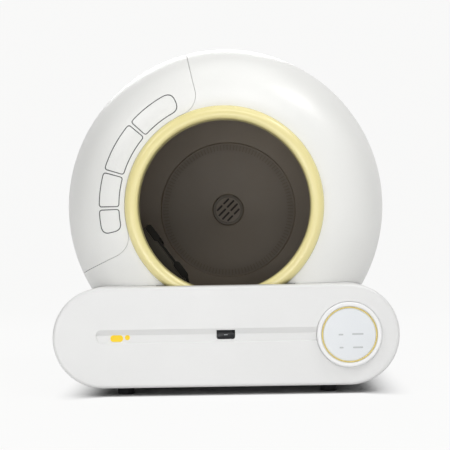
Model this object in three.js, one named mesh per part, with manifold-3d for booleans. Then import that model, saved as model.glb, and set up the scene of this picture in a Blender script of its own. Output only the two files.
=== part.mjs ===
// A self-cleaning litter box: a drum lying on its side in a round housing, over a pill-shaped base that
// holds a waste drawer. Millimetres, +Z up, the front faces -Y, and the origin is under the middle.
// Inside the assembly group, y is measured back from the drawer's front face.
import * as THREE from "three";
import { mergeVertices, toCreasedNormals } from "three/addons/utils/BufferGeometryUtils.js";
import Module from "manifold-3d";

const wasm = await Module();
wasm.setup();

// Driving sizes.
const gap = 0.3; // between pieces that touch
const weld = 1; // how far solids that are fused reach into each other
const overrun = 6; // how far a cutter passes what it cuts
const merge_distance = 0.0005;

const base = { width: 520, height: 151, depth: 530, wall: 3, step: 60 };
const foot = { height: 12, radius: 12.5, neck: 5, neck_rise: 1.2, from_end: 106, inset: 50, chamfer: 1.5 };
const fascia = { depth: 24.7, front: 7, fillet: 5, collar: 3 };
const groove = { depth: 4, drop: 75.5, above: 12, below: 7.5, slope: 6, left: 194.6 };
const pod = {
  radius: 48.8, proud: 7, clearance: 1.2, round: 3, bevel: 1, rim: 6.8, lip: 3, well: 3.5, wire_hole: 16,
};
const light = { width: 2.4, thickness: 2.2, sink: 0.5 };
const touch = { sink: 1, board: 1.6 };
const sensor = { width: 26.8, above: 8.9, below: 3.9, corner: 3, clearance: 0.5, sink: 0.6 };
const bin = {
  behind: 120, floor: 2.5, wall: 2.5, corner: 18, side_gap: 2.5, left_gap: 19, rim: 4, rim_height: 4,
};
const bag_ring = { width: 11, thickness: 2.2, headroom: 0.5 };
const runner = { width: 6, height: 2.7, inset: 60, guide: 3, guide_height: 9 };
const post = { radius: 6, outset: 30.5, front: 62, behind: 58, pilot: 2.4 };
const deck = { thickness: 3, edge: 9, front_gap: 2, behind: 25, below_top: 84 };
const screw = { shank: 2, length: 14, head: 4, head_height: 2.4, socket: 2, socket_depth: 1.2 };
const chute = { half_width: 66, ahead: 5, past: 12, lip: 4 };
const gear = {
  module: 6, teeth: 66, addendum: 4.8, dedendum: 6.6, rim: 3.2, ahead: 25, width: 15, backlash: 0.5,
  slant: 20,
};
const pinion = { teeth: 11, hub: 13, hub_length: 6, shaft: 4, angle: 44.5, mesh_gap: 0.4 };
const drum = {
  wall: 3, floor_gap: 3, lip_gap: 7, lip: 140, lip_depth: 14, shoulder: 38, front_part: 115, behind: 80,
  recess: 4, recess_radius: 118, corner: 6,
};
const rail = { rise: 3, width: 12, front_inset: 64, back_inset: 65 };
const roller = { radius: 15, flange: 2.4, flange_width: 2.2, play: 0.6, angle: 40, pin: 3 };
const ear = { thickness: 3.5, gap: 0.8, crown: 8, foot: 14 };
const port = { from: 199, to: 223, front_inset: 135, back_inset: 90 };
const sifter = {
  distance: 115.3, facing: 216.2, lip: 49, bead: 11, bead_length: 29, bead_corner: 5, heel: 23, flat: 52,
  bend: 20, lean: 2.6, thickness: 4, front_inset: 42, back_inset: 10, margin: 7, slot: 10, bar: 8,
};
const pocket_wall = { thickness: 3 };
const liner = { thickness: 1.7, from: 261, to: 351 };
const vent = { radius: 26, thickness: 3, sink: 3, slot: 3.4, pitch: 8.6, reach: 20, bridge: 3, tilt: 45 };
const cartridge = { thickness: 11, wall: 3 };
const housing = { wall: 3, drum_space: 44, dome_depth: 110, rear_part: 230, back_round: 60 };
const ring = { outer: 153, inner: 132, proud: 11, collar: 3, collar_depth: 26, seat: 3 };
const seal = { thickness: 3.2, reach: 12, lip: 4 };
const cover = { from: 103.5, to: 204.1, corner: 31, seam: 0.6 };
const opening = { side_gap: 12, front_gap: 3, back_gap: 10, curb: 3, curb_height: 5, bend: 16, taper: 55 };
const notch = { front_gap: 3, side_gap: 14, apron: 12 };
const grille = { slots: 11, width: 5, pitch: 13, height: 120, rise: 40 };
const motor = {
  bore_depth: 10, box: 22, box_length: 30, can: 17, can_length: 30, plate: 3, plate_gap: 2, plate_half: 30,
  boss: 9,
};
const board = { width: 60, length: 120, thickness: 1.6, stand: 8, stand_radius: 3.5, front: 70, inset: 8 };
const socket = {
  from_end: 55, below_seam: 35.5, width: 15, height: 12, depth: 14, barrel: 4, pin: 1.2, pin_length: 8,
  hole: 5.5,
};

// Sizes worked out from the ones above.
const end_radius = base.height / 2;
const end_x = base.width / 2 - end_radius;
const mid_z = foot.height + end_radius;
const top_z = foot.height + base.height;
const floor_z = foot.height + base.wall;
const groove_z = top_z - groove.drop;
const bulkhead = { front: fascia.depth + gap, back: fascia.depth + gap + base.wall };
const pod_hole = pod.radius + pod.clearance;
const post_x = end_x + post.outset;
const bin_right = end_x - pod_hole - bin.side_gap;
const bin_left = -(post_x - post.radius - bin.left_gap);
const bin_back = base.depth - bin.behind;
const deck_top = top_z - deck.below_top;
const deck_bottom = deck_top - deck.thickness;
const bin_bottom = floor_z + runner.height + gap;
const bin_top = deck_bottom - bag_ring.headroom - bag_ring.thickness - gap;
const pitch_radius = (gear.module * gear.teeth) / 2;
const tip_radius = pitch_radius + gear.addendum;
const root_radius = pitch_radius - gear.dedendum;
const drum_radius = root_radius - gear.rim - gap;
const drum_inside = drum_radius - drum.wall;
const rail_radius = drum_radius + rail.rise;
const axis_z = deck_top + drum.floor_gap + tip_radius;
const housing_radius = tip_radius + housing.drum_space + housing.wall;
const drum_y = { front: base.step + housing.wall + drum.lip_gap, back: base.depth - drum.behind };
const joint_y = drum_y.front + drum.front_part;
const rail_y = { front: drum_y.front + rail.front_inset, back: drum_y.back - rail.back_inset };
const port_y = { front: drum_y.front + port.front_inset, back: drum_y.back - port.back_inset };
const chute_y = { front: port_y.front - chute.ahead, back: port_y.back + chute.past };
const sifter_y = { front: drum_y.front + sifter.front_inset, back: drum_y.back - sifter.back_inset };
const gear_y = { front: drum_y.back - gear.ahead, back: drum_y.back - gear.ahead + gear.width };
const seam_y = base.depth - housing.rear_part;
const foot_x = base.width / 2 - foot.from_end;
const socket_x = base.width / 2 - socket.from_end;
const socket_z = mid_z - socket.below_seam;
const well_radius = pod.radius - pod.rim;
const face_y = (pod.proud - base.depth) / 2;
const opening_half = Math.sqrt(tip_radius ** 2 - (axis_z - top_z) ** 2) + opening.side_gap;
const rail_half = Math.sqrt(rail_radius ** 2 - (axis_z - top_z) ** 2);
const notch_half = Math.sqrt(ring.outer ** 2 - (axis_z - top_z) ** 2) + notch.side_gap;

// How finely the round forms are cut.
const steps = {
  housing: 36, drum: 40, ring: 36, pod: 24, hub: 12, small: 10, hex: 6, arc: 8, cover: 4, liner: 5, corner: 2,
  dome: 5, back: 3, edge: 3,
};

const plastic = (color, roughness) => new THREE.MeshStandardMaterial({ color, roughness, metalness: 0 });
const metal = (color, roughness) => new THREE.MeshStandardMaterial({ color, roughness, metalness: 1 });
const materials = {
  white: plastic(0xecece8, 0.32),
  yellow: plastic(0xece1a8, 0.3),
  smoke: plastic(0x4a433b, 0.38),
  dark: plastic(0x1f2022, 0.2),
  grey: plastic(0x8d9093, 0.5),
  liner: plastic(0x5a564f, 0.8),
  bin: plastic(0x6a6c6e, 0.5),
  plate: plastic(0xe3e7e8, 0.12),
  rubber: plastic(0x17171a, 0.85),
  carbon: plastic(0x2b2b2b, 0.9),
  board: plastic(0x1d5b3a, 0.5),
  gold: metal(0xc9a94a, 0.28),
  steel: metal(0xb9bcc0, 0.3),
};

const radians = THREE.MathUtils.degToRad;
const crease = radians(25);

// Makes a solid that can be cut and joined from a closed geometry.
function solid(geometry) {
  geometry.deleteAttribute("normal");
  geometry.deleteAttribute("uv");
  const merged = mergeVertices(geometry, merge_distance);
  const index = merged.index.array;
  const kept = [];
  for (let i = 0; i < index.length; i += 3) {
    const [a, b, c] = index.slice(i, i + 3);
    if (a !== b && b !== c && c !== a) kept.push(a, b, c);
  }
  const vertProperties = merged.attributes.position.array;
  return new wasm.Manifold(new wasm.Mesh({ numProp: 3, vertProperties, triVerts: new Uint32Array(kept) }));
}

function joined(...solids) {
  return solids.reduce((whole, piece) => whole.add(piece));
}

function cut(whole, ...cutters) {
  return cutters.reduce((left, cutter) => left.subtract(cutter), whole);
}

// A box between two corners.
function block(x0, x1, y0, y1, z0, z1) {
  const geometry = new THREE.BoxGeometry(x1 - x0, y1 - y0, z1 - z0);
  return solid(geometry.translate((x0 + x1) / 2, (y0 + y1) / 2, (z0 + z1) / 2));
}

// A round bar along Y.
function rod(x, z, radius, y0, y1, sides = steps.small) {
  const geometry = new THREE.CylinderGeometry(radius, radius, y1 - y0, sides);
  return solid(geometry.translate(x, (y0 + y1) / 2, z));
}

// A round bar that stands up, tapered if a second radius is given for its top.
function stud(x, y, radius, z0, z1, top_radius = radius, sides = steps.small) {
  const geometry = new THREE.CylinderGeometry(top_radius, radius, z1 - z0, sides).rotateX(Math.PI / 2);
  return solid(geometry.translate(x, y, (z0 + z1) / 2));
}

// An outline in X and Z, carried back from y0 to y1.
function along_y(shape, y0, y1, curveSegments = steps.arc) {
  const geometry = new THREE.ExtrudeGeometry(shape, { depth: y1 - y0, bevelEnabled: false, curveSegments });
  return solid(geometry.rotateX(Math.PI / 2).translate(0, y1, 0));
}

// An outline in Y and Z, carried from x0 to x1.
function along_x(shape, x0, x1, curveSegments = steps.arc) {
  const geometry = new THREE.ExtrudeGeometry(shape, { depth: x1 - x0, bevelEnabled: false, curveSegments });
  const turn = new THREE.Matrix4().makeBasis(
    new THREE.Vector3(0, 1, 0), new THREE.Vector3(0, 0, 1), new THREE.Vector3(1, 0, 0),
  );
  return solid(geometry.applyMatrix4(turn).translate(x0, 0, 0));
}

// An outline in X and Y, carried up from z0 to z1.
function along_z(shape, z0, z1, curveSegments = steps.arc) {
  const geometry = new THREE.ExtrudeGeometry(shape, { depth: z1 - z0, bevelEnabled: false, curveSegments });
  return solid(geometry.translate(0, 0, z0));
}

// A closed profile of [radius, y] points, turned about the Y axis.
function turned(profile, sides) {
  const points = profile.map(([radius, y]) => new THREE.Vector2(radius, y));
  if (THREE.ShapeUtils.area(points) < 0) points.reverse();
  return solid(new THREE.LatheGeometry([...points, points[0]], sides));
}

// A quarter of an ellipse, from straight ahead of its centre (angle 0) out to its side, as profile points.
function quarter(centre_radius, centre_y, across, along, count) {
  return Array.from({ length: count + 1 }, (_, i) => {
    const angle = (i / count) * (Math.PI / 2);
    return [centre_radius + across * Math.sin(angle), centre_y + along * Math.cos(angle)];
  });
}

function polygon(points) {
  return new THREE.Shape(points.map(([x, y]) => new THREE.Vector2(x, y)));
}

function rectangle(x0, x1, y0, y1, corner) {
  const shape = new THREE.Shape();
  shape.absarc(x1 - corner, y0 + corner, corner, -Math.PI / 2, 0);
  shape.absarc(x1 - corner, y1 - corner, corner, 0, Math.PI / 2);
  shape.absarc(x0 + corner, y1 - corner, corner, Math.PI / 2, Math.PI);
  shape.absarc(x0 + corner, y0 + corner, corner, Math.PI, 1.5 * Math.PI);
  return shape;
}

// The base's pill outline, drawn in by an inset.
function pill(inset) {
  const radius = end_radius - inset;
  const shape = new THREE.Shape();
  shape.absarc(end_x, mid_z, radius, -Math.PI / 2, Math.PI / 2);
  shape.absarc(-end_x, mid_z, radius, Math.PI / 2, 1.5 * Math.PI);
  return shape;
}

const assembly = new THREE.Group();
const turning = new THREE.Group();
turning.position.z = axis_z;
assembly.add(turning);

// Adds a named piece to a group. Pieces of the turning group have the drum's axis as their own.
function add(name, shape, material, group = assembly) {
  const { vertProperties, triVerts } = shape.getMesh();
  const geometry = new THREE.BufferGeometry();
  geometry.setAttribute("position", new THREE.BufferAttribute(new Float32Array(vertProperties), 3));
  geometry.setIndex(new THREE.BufferAttribute(new Uint32Array(triVerts), 1));
  const mesh = new THREE.Mesh(toCreasedNormals(geometry, crease), material);
  mesh.name = name;
  group.add(mesh);
  return mesh;
}

const feet_y = { front: foot.inset, rear: base.depth - foot.inset };
const feet = [-1, 1].flatMap((side) => Object.values(feet_y).map((y) => [side * foot_x, y]));
const board_x = bin_right + bin.side_gap + runner.guide + board.inset;
const post_y = [post.front, base.depth - post.behind];
const posts = [-1, 1].flatMap((side) => post_y.map((y) => [side * post_x, y]));
const pinion_reach = pitch_radius + (gear.module * pinion.teeth) / 2 + pinion.mesh_gap;
const pinion_x = pinion_reach * Math.sin(radians(pinion.angle));
const pinion_z = axis_z - pinion_reach * Math.cos(radians(pinion.angle));
const roller_reach = rail_radius + roller.radius + gap;
const roller_x = roller_reach * Math.sin(radians(roller.angle));
const roller_z = axis_z - roller_reach * Math.cos(radians(roller.angle));

// The lower half of the base: floor, walls, bulkhead, drawer runners, posts for the deck and board.
function base_pan() {
  const lower = block(-base.width, base.width, 0, base.depth, 0, mid_z - gap / 2);
  const bay = [bin_left - bin.side_gap, bin_right + bin.side_gap];
  const rib = [floor_z - weld, floor_z + runner.guide_height];
  const skin = cut(
    along_y(pill(0), bulkhead.front, base.depth),
    along_y(pill(base.wall), bulkhead.back, base.depth - base.wall),
    block(...bay, 0, bulkhead.back + gap, bin_bottom - gap, deck_bottom),
    ...feet.map(([x, y]) => stud(x, y, foot.neck + gap, 0, floor_z + overrun)),
    rod(socket_x, socket_z, socket.hole, base.depth - base.wall - overrun, base.depth + overrun),
  );
  const half = runner.width / 2;
  const runners = [bin_left + runner.inset, bin_right - runner.inset].map((x) =>
    block(x - half, x + half, bulkhead.back, bin_back, floor_z - weld, bin_bottom - gap));
  const guides = [bay[0] - runner.guide, bay[1]].map((x) =>
    block(x, x + runner.guide, bulkhead.back, bin_back, ...rib));
  const stop_y = bin_back + bin.side_gap;
  const stop = block(bin_left, bin_right, stop_y, stop_y + runner.guide, ...rib);
  const within = along_y(pill(gap), 0, base.depth);
  const columns = posts.map(([x, y]) => cut(
    stud(x, y, post.radius, foot.height, deck_bottom - gap).intersect(within),
    stud(x, y, post.pilot, deck_bottom - screw.length, deck_bottom),
  ));
  const stand_top = floor_z + board.stand;
  const stands = board_stands().map(([x, y]) => stud(x, y, board.stand_radius, floor_z - weld, stand_top));
  return joined(skin.intersect(lower), ...runners, ...guides, stop, ...columns, ...stands);
}

function board_stands() {
  const { width, length, front, inset } = board;
  return [board_x + inset, board_x + width - inset].flatMap((x) =>
    [front + inset, front + length - inset].map((y) => [x, y]));
}

// The upper half of the base, open in the middle for the drum, with a notch in front for the entry ring.
function base_top() {
  const upper = block(-base.width, base.width, 0, base.depth, mid_z + gap / 2, top_z + base.height);
  const skin = cut(
    along_y(pill(0), bulkhead.front, base.depth),
    along_y(pill(base.wall), bulkhead.back, base.depth - base.wall),
    rod(end_x, mid_z, pod.wire_hole, 0, bulkhead.back + gap),
  );
  const well = along_z(well_outline(0), mid_z, top_z + overrun + opening.curb_height);
  const slot_front = ring_front() - notch.front_gap;
  const slot = block(-notch_half, notch_half, slot_front, drum_y.front, mid_z, top_z + overrun);
  const curb = cut(
    along_z(well_outline(opening.curb), top_z - base.wall, top_z + opening.curb_height),
    well,
    block(-base.width, base.width, 0, drum_y.front, mid_z, top_z + base.height),
  );
  return joined(cut(skin.intersect(upper), well, slot), curb);
}

// The opening in the base's top, narrower in front, where the drum and the housing draw in.
function well_outline(grow) {
  const half = opening_half + grow;
  const narrow = notch_half + grow;
  const front = drum_y.front - opening.front_gap - grow;
  const bend = rail_half + opening.front_gap + grow;
  const shoulder = drum_y.front + opening.bend - grow;
  const side = [[narrow, front], [bend, shoulder], [half, drum_y.front + opening.taper]];
  const back = drum_y.back + opening.back_gap + grow;
  return polygon([...side, [half, back], ...[[half, back], ...side.toReversed()].map(([x, y]) => [-x, y])]);
}

function ring_front() {
  return base.step - ring.proud;
}

// One upright ear of a roller fork: a foot on the deck that narrows to a round crown about the pin.
function fork_ear(x, y0) {
  const shape = new THREE.Shape();
  shape.moveTo(x - ear.foot, deck_top - weld);
  shape.lineTo(x + ear.foot, deck_top - weld);
  shape.absarc(x, roller_z, ear.crown, 0, Math.PI);
  const bore = rod(x, roller_z, roller.pin + gap, y0 - overrun, y0 + ear.thickness + overrun);
  return cut(along_y(shape, y0, y0 + ear.thickness, 2 * steps.corner), bore);
}

const tread = rail.width + 2 * roller.play;
const roller_width = tread + 2 * roller.flange_width;
const roller_offset = roller.play + roller.flange_width;
const roller_rows = { front: rail_y.front - roller_offset, rear: rail_y.back - roller_offset };

// The deck between drum and drawer, with the waste chute, four roller forks and the motor's plate.
function drum_cradle() {
  const half = post_x + deck.edge;
  const front = bulkhead.back + deck.front_gap;
  const outline = rectangle(-half, half, front, base.depth - deck.behind, deck.edge);
  const plate = along_z(outline, deck_bottom, deck_top, steps.corner);
  const lip = chute.lip;
  const rim = cut(
    block(-chute.half_width - lip, chute.half_width + lip, chute_y.front - lip, chute_y.back + lip,
      deck_bottom, deck_top + drum.floor_gap),
    drum_sweep(),
  );
  const hole = block(-chute.half_width, chute.half_width, chute_y.front, chute_y.back,
    deck_bottom - overrun, deck_top + overrun);
  const ears = [];
  for (const y of Object.values(roller_rows)) {
    for (const side of [-1, 1]) {
      ears.push(fork_ear(side * roller_x, y - ear.gap - ear.thickness));
      ears.push(fork_ear(side * roller_x, y + roller_width + ear.gap));
    }
  }
  const bored = posts.map(([x, y]) =>
    stud(x, y, screw.shank + gap, deck_bottom - overrun, deck_top + overrun));
  return cut(joined(plate, rim, ...ears, motor_plate()), hole, ...bored);
}

// What the turning drum sweeps, a little larger.
function drum_sweep() {
  return rod(0, axis_z, drum_radius + drum.floor_gap, drum_y.front, drum_y.back + overrun, steps.drum);
}

function motor_plate() {
  const y0 = drum_y.back + drum.recess + motor.plate_gap;
  const shape = new THREE.Shape();
  shape.moveTo(pinion_x - motor.plate_half, deck_top - weld);
  shape.lineTo(pinion_x + motor.plate_half, deck_top - weld);
  shape.absarc(pinion_x, pinion_z, motor.plate_half - motor.plate, 0, Math.PI);
  const hole = rod(pinion_x, pinion_z, motor.boss + gap, y0 - overrun, y0 + overrun + motor.plate, steps.hub);
  return cut(along_y(shape, y0, y0 + motor.plate, 2 * steps.corner), hole);
}

// A roller that straddles the drum's raised rail with two flanges.
function roller_solid(y0) {
  const bore = roller.pin + gap;
  const flange = roller.radius + roller.flange;
  const y1 = y0 + roller.flange_width;
  const y2 = y1 + tread;
  const y3 = y2 + roller.flange_width;
  return turned([
    [bore, y0], [flange, y0], [flange, y1], [roller.radius, y1],
    [roller.radius, y2], [flange, y2], [flange, y3], [bore, y3],
  ], steps.hub);
}

// The outline of a spur gear with a tooth along +X. Each flank is drawn through the radii given.
function gear_outline(teeth, radii) {
  const pitch = (gear.module * teeth) / 2;
  const base_circle = pitch * Math.cos(radians(gear.slant));
  const involute = (radius) => {
    const angle = Math.acos(Math.min(1, base_circle / radius));
    return Math.tan(angle) - angle;
  };
  const half_at_pitch = Math.PI / (2 * teeth) - gear.backlash / (2 * pitch);
  const half_at = (radius) => half_at_pitch + involute(pitch) - involute(Math.max(radius, base_circle));
  const points = [];
  for (let tooth = 0; tooth < teeth; tooth += 1) {
    const middle = (tooth * 2 * Math.PI) / teeth;
    const flank = radii.map((radius) => [radius, -half_at(radius)]);
    const other = radii.toReversed().map((radius) => [radius, half_at(radius)]);
    for (const [radius, turn] of [...flank, ...other]) {
      points.push([radius * Math.cos(middle + turn), radius * Math.sin(middle + turn)]);
    }
  }
  return polygon(points);
}

// The drum's front part: the lip round the way in, a rounded shoulder and the front rail.
function drum_front_shell() {
  const { lip, lip_depth, shoulder, wall } = drum;
  const lip_out = lip + wall;
  const shoulder_y = drum_y.front + shoulder;
  const outer = quarter(lip_out, shoulder_y, drum_radius - lip_out, -shoulder, steps.edge);
  const inner = quarter(lip_out, shoulder_y, drum_inside - lip_out, wall - shoulder, steps.edge).reverse();
  return turned([
    [lip, drum_y.front], ...outer,
    [drum_radius, rail_y.front], [rail_radius, rail_y.front],
    [rail_radius, rail_y.front + rail.width], [drum_radius, rail_y.front + rail.width],
    [drum_radius, joint_y], [drum_inside, joint_y], ...inner,
    [lip_out, drum_y.front + lip_depth], [lip, drum_y.front + lip_depth],
  ], steps.drum);
}

// The drum's rear part: rear rail, waste port, dished back wall and the cup that holds the scent cartridge.
function drum_rear_shell() {
  const { wall, recess, recess_radius, corner } = drum;
  const { back } = drum_y;
  const cup = vent.radius + gap;
  const cup_back = back + recess + vent.sink + vent.thickness + cartridge.thickness;
  const shell = turned([
    [drum_radius, joint_y + gap], [drum_radius, rail_y.back], [rail_radius, rail_y.back],
    [rail_radius, rail_y.back + rail.width], [drum_radius, rail_y.back + rail.width],
    [drum_radius, back - corner], [drum_radius - corner, back], [recess_radius + wall, back],
    [recess_radius + wall, back + recess], [cup + wall, back + recess],
    [cup + wall, cup_back + wall], [0, cup_back + wall], [0, cup_back], [cup, cup_back],
    [cup, back + recess - wall], [recess_radius, back + recess - wall], [recess_radius, back - wall],
    [drum_inside - corner, back - wall], [drum_inside, back - corner - wall], [drum_inside, joint_y + gap],
  ], steps.drum);
  const reach = drum_radius + overrun;
  const window = new THREE.Shape();
  window.absarc(0, 0, reach, radians(port.from), radians(port.to));
  window.absarc(0, 0, drum_inside - overrun, radians(port.to), radians(port.from), true);
  return cut(shell, along_y(window, port_y.front, port_y.back, steps.corner));
}

// The sieve's section, with its outline grown: X runs along it from the free edge and Z towards the drum's
// axis. A bead at the free edge and a heel stiffen a strip that bends away there to the drum's wall.
function sieve_body(grow, y0, y1) {
  const { lip, bead, bead_length, bead_corner, heel, flat, thickness } = sifter;
  const bend = radians(sifter.bend);
  const half = thickness / 2 + grow;
  const thick = bead / 2 + grow;
  const corner = bead_corner + grow;
  const mitre = half * Math.tan(bend / 2);
  const end_x_at = (side) => flat + drum_radius * Math.cos(bend) + side * half * Math.sin(bend);
  const end_z_at = (side) => side * half * Math.cos(bend) - drum_radius * Math.sin(bend);
  const strip = polygon([
    [-lip + bead_corner, -half], [flat - mitre, -half], [end_x_at(-1), end_z_at(-1)],
    [end_x_at(1), end_z_at(1)], [flat + mitre, half], [-lip + bead_corner, half],
  ]);
  return joined(
    along_y(rectangle(-lip - grow, bead_length - lip + grow, -thick, thick, corner), y0, y1, steps.corner),
    along_y(rectangle(heel - grow, flat + grow, -thick, thick, corner), y0, y1, steps.corner),
    along_y(strip, y0, y1),
  );
}

// Leans the sieve back from its front edge and takes it to its place in the drum.
function in_drum(shape) {
  const facing = radians(sifter.facing);
  const { distance, lean } = sifter;
  return shape
    .translate([0, -sifter_y.front, 0]).rotate([-lean, 0, 0]).translate([0, sifter_y.front, 0])
    .rotate([0, 270 - sifter.facing, 0])
    .translate([distance * Math.cos(facing), 0, distance * Math.sin(facing)]);
}

// Everything inside the drum's wall between two depths, in flats that match the wall's.
function drum_room(y0, y1) {
  return rod(0, 0, drum_inside - gap, y0, y1, steps.drum);
}

// The sieve: a row of slots in the flat and another in the foot, up to where the foot meets the wall.
function sifter_sieve() {
  const { distance, lip, bead_length, heel, flat, thickness, margin, slot, bar, lean, bend } = sifter;
  const { front, back } = sifter_y;
  const pitch = slot + bar;
  const count = Math.floor((back - front - 2 * margin + bar) / pitch);
  const first = (front + back - count * pitch + bar) / 2;
  const far = distance + (back - front) * Math.tan(radians(lean));
  const along = flat * Math.cos(radians(bend)) + far * Math.sin(radians(bend));
  const reach = Math.sqrt(along ** 2 - flat ** 2 - far ** 2 + drum_inside ** 2) - along;
  const rise = [-overrun, overrun];
  const row = (x0, x1) => Array.from({ length: count }, (_, i) =>
    block(x0, x1, first + i * pitch, first + i * pitch + slot, ...rise));
  const flat_slots = row(bead_length - lip + margin, heel - margin);
  const foot_slots = row(margin, reach - margin).map((shape) =>
    shape.rotate([0, bend, 0]).translate([flat, 0, 0]));
  const body = sieve_body(0, front - overrun, back + overrun);
  return in_drum(cut(body, ...flat_slots, ...foot_slots)).intersect(drum_room(front, back));
}

// The crescent that closes the front of the pocket between the sieve and the drum's wall.
function pocket_wall_plate() {
  const bend = radians(sifter.bend);
  const { lip, flat } = sifter;
  const far = 2 * drum_radius;
  const behind = polygon([
    [-lip, 0], [flat, 0], [flat + far * Math.cos(bend), -far * Math.sin(bend)],
    [flat + far * Math.cos(bend), -2 * far], [-lip, -2 * far],
  ]);
  const y0 = sifter_y.front;
  const y1 = y0 + pocket_wall.thickness;
  const span = [y0 - overrun, y1 + overrun];
  const region = in_drum(cut(along_y(behind, ...span), sieve_body(gap, ...span)));
  return region.intersect(drum_room(y0, y1));
}

function liner_sheet() {
  const outer = drum_inside - gap;
  const shape = new THREE.Shape();
  shape.absarc(0, 0, outer, radians(liner.from), radians(liner.to));
  shape.absarc(0, 0, outer - liner.thickness, radians(liner.to), radians(liner.from), true);
  return along_y(shape, sifter_y.front, sifter_y.back, steps.liner);
}

// The round vent at the middle of the back wall: four slanting slots, each parted by a bridge.
function vent_disc() {
  const y0 = drum_y.back + drum.recess - drum.wall + vent.sink;
  const slots = [];
  for (const row_share of [-1.5, -0.5, 0.5, 1.5]) {
    const z = row_share * vent.pitch;
    const half = Math.sqrt(vent.reach ** 2 - z ** 2);
    for (const [x0, x1] of [[-half, -vent.bridge / 2], [vent.bridge / 2, half]]) {
      slots.push(block(x0, x1, y0 - overrun, y0 + overrun, z - vent.slot / 2, z + vent.slot / 2));
    }
  }
  const face = rod(0, 0, vent.radius, y0, y0 + vent.thickness, steps.pod);
  return cut(face, ...slots).rotate([0, -vent.tilt, 0]);
}

function scent_puck() {
  const y0 = drum_y.back + drum.recess - drum.wall + vent.sink + vent.thickness + gap;
  return rod(0, 0, vent.radius - cartridge.wall, y0, y0 + cartridge.thickness - 2 * gap, steps.hub);
}

// The housing's whole skin as a solid of revolution, with its front dome and its rounded back.
function housing_shell(y0, y1) {
  const r = housing_radius;
  const w = housing.wall;
  const dome_from = ring.outer - ring.seat;
  const dome_y = base.step + housing.dome_depth;
  const back_y = base.depth - housing.back_round;
  const round_from = r - housing.back_round;
  const shell = turned([
    [ring.inner + ring.collar + gap, base.step],
    ...quarter(dome_from, dome_y, r - dome_from, -housing.dome_depth, steps.dome),
    ...quarter(round_from, back_y, housing.back_round, housing.back_round, steps.back).reverse(),
    [0, base.depth], [0, base.depth - w],
    ...quarter(round_from, back_y, housing.back_round - w, housing.back_round - w, steps.back),
    ...quarter(dome_from, dome_y, r - dome_from - w, w - housing.dome_depth, steps.dome).reverse(),
    [ring.inner + ring.collar + gap, base.step + w],
  ], steps.housing).translate([0, 0, axis_z]);
  return shell.intersect(block(-r - overrun, r + overrun, y0, y1, 0, axis_z + r + overrun));
}

// What the base takes away from the foot of the housing.
function base_bite() {
  const bite = along_y(pill(-gap), -overrun, base.depth + overrun);
  const below = block(-base.width, base.width, -overrun, base.depth + overrun, -overrun, mid_z);
  return bite.add(below);
}

// The outline of the side cover about the drum's axis: a sector with its two inner corners rounded.
function cover_outline(grow) {
  const spread = grow / ring.outer;
  const from = radians(cover.from) - spread;
  const to = radians(cover.to) + spread;
  const inner = ring.outer + cover.seam - grow;
  const corner = cover.corner + grow;
  const swing = Math.asin(corner / (inner + corner));
  const outer = housing_radius + overrun;
  const centre = (angle) => [(inner + corner) * Math.cos(angle), (inner + corner) * Math.sin(angle)];
  const shape = new THREE.Shape();
  shape.moveTo(outer * Math.cos(from), outer * Math.sin(from));
  shape.absarc(...centre(from + swing), corner, from - Math.PI / 2, from + swing - Math.PI, true);
  shape.absarc(0, 0, inner, from + swing, to - swing);
  shape.absarc(...centre(to - swing), corner, to - swing + Math.PI, to + Math.PI / 2, true);
  shape.absarc(0, 0, outer, to, from, true);
  return shape;
}

function cover_prism(grow, back) {
  return along_y(cover_outline(grow), 0, back, steps.cover).translate([0, 0, axis_z]);
}

function housing_front_shell() {
  const skin = housing_shell(0, seam_y - gap);
  const apron = block(-notch_half + gap, notch_half - gap, 0, base.step + housing.wall,
    axis_z - ring.outer - notch.apron, top_z + overrun);
  const bite = cut(base_bite(), apron);
  return cut(skin, bite, cover_prism(cover.seam, seam_y));
}

function side_cover_shell() {
  return housing_shell(0, seam_y - gap).intersect(cover_prism(0, seam_y + gap));
}

// The rear shell, with a grille of upright slots behind the drum.
function housing_rear_shell() {
  const slots = [];
  for (let i = 0; i < grille.slots; i += 1) {
    const x = (i - (grille.slots - 1) / 2) * grille.pitch;
    const reach = (grille.slots / 2) * grille.pitch + grille.pitch;
    const half = (grille.height / 2) * Math.sqrt(1 - (x / reach) ** 2);
    const z = axis_z + grille.rise;
    const back = [base.depth - overrun, base.depth + overrun];
    slots.push(block(x - grille.width / 2, x + grille.width / 2, ...back, z - half, z + half));
  }
  return cut(housing_shell(seam_y + gap, base.depth + overrun), base_bite(), ...slots);
}

function ring_solid() {
  const back = base.step - gap;
  const half = (ring.outer - ring.inner) / 2;
  const middle = ring.inner + half;
  const outer_side = quarter(middle, back, half, -ring.proud, steps.edge);
  const inner_side = quarter(middle, back, -half, -ring.proud, steps.edge).slice(1).reverse();
  return turned([
    ...inner_side, ...outer_side, [ring.inner + ring.collar, back],
    [ring.inner + ring.collar, base.step + ring.collar_depth], [ring.inner, base.step + ring.collar_depth],
  ], steps.ring);
}

// A soft ring behind the housing's front that closes the gap to the drum's lip.
function seal_solid() {
  const inner = ring.inner + ring.collar + gap;
  const front = base.step + housing.wall + gap;
  return turned([
    [inner, front], [inner + seal.reach, front], [inner + seal.reach, front + seal.thickness / 2],
    [inner + seal.lip, front + seal.thickness], [inner, front + seal.thickness],
  ], steps.ring);
}

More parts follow.
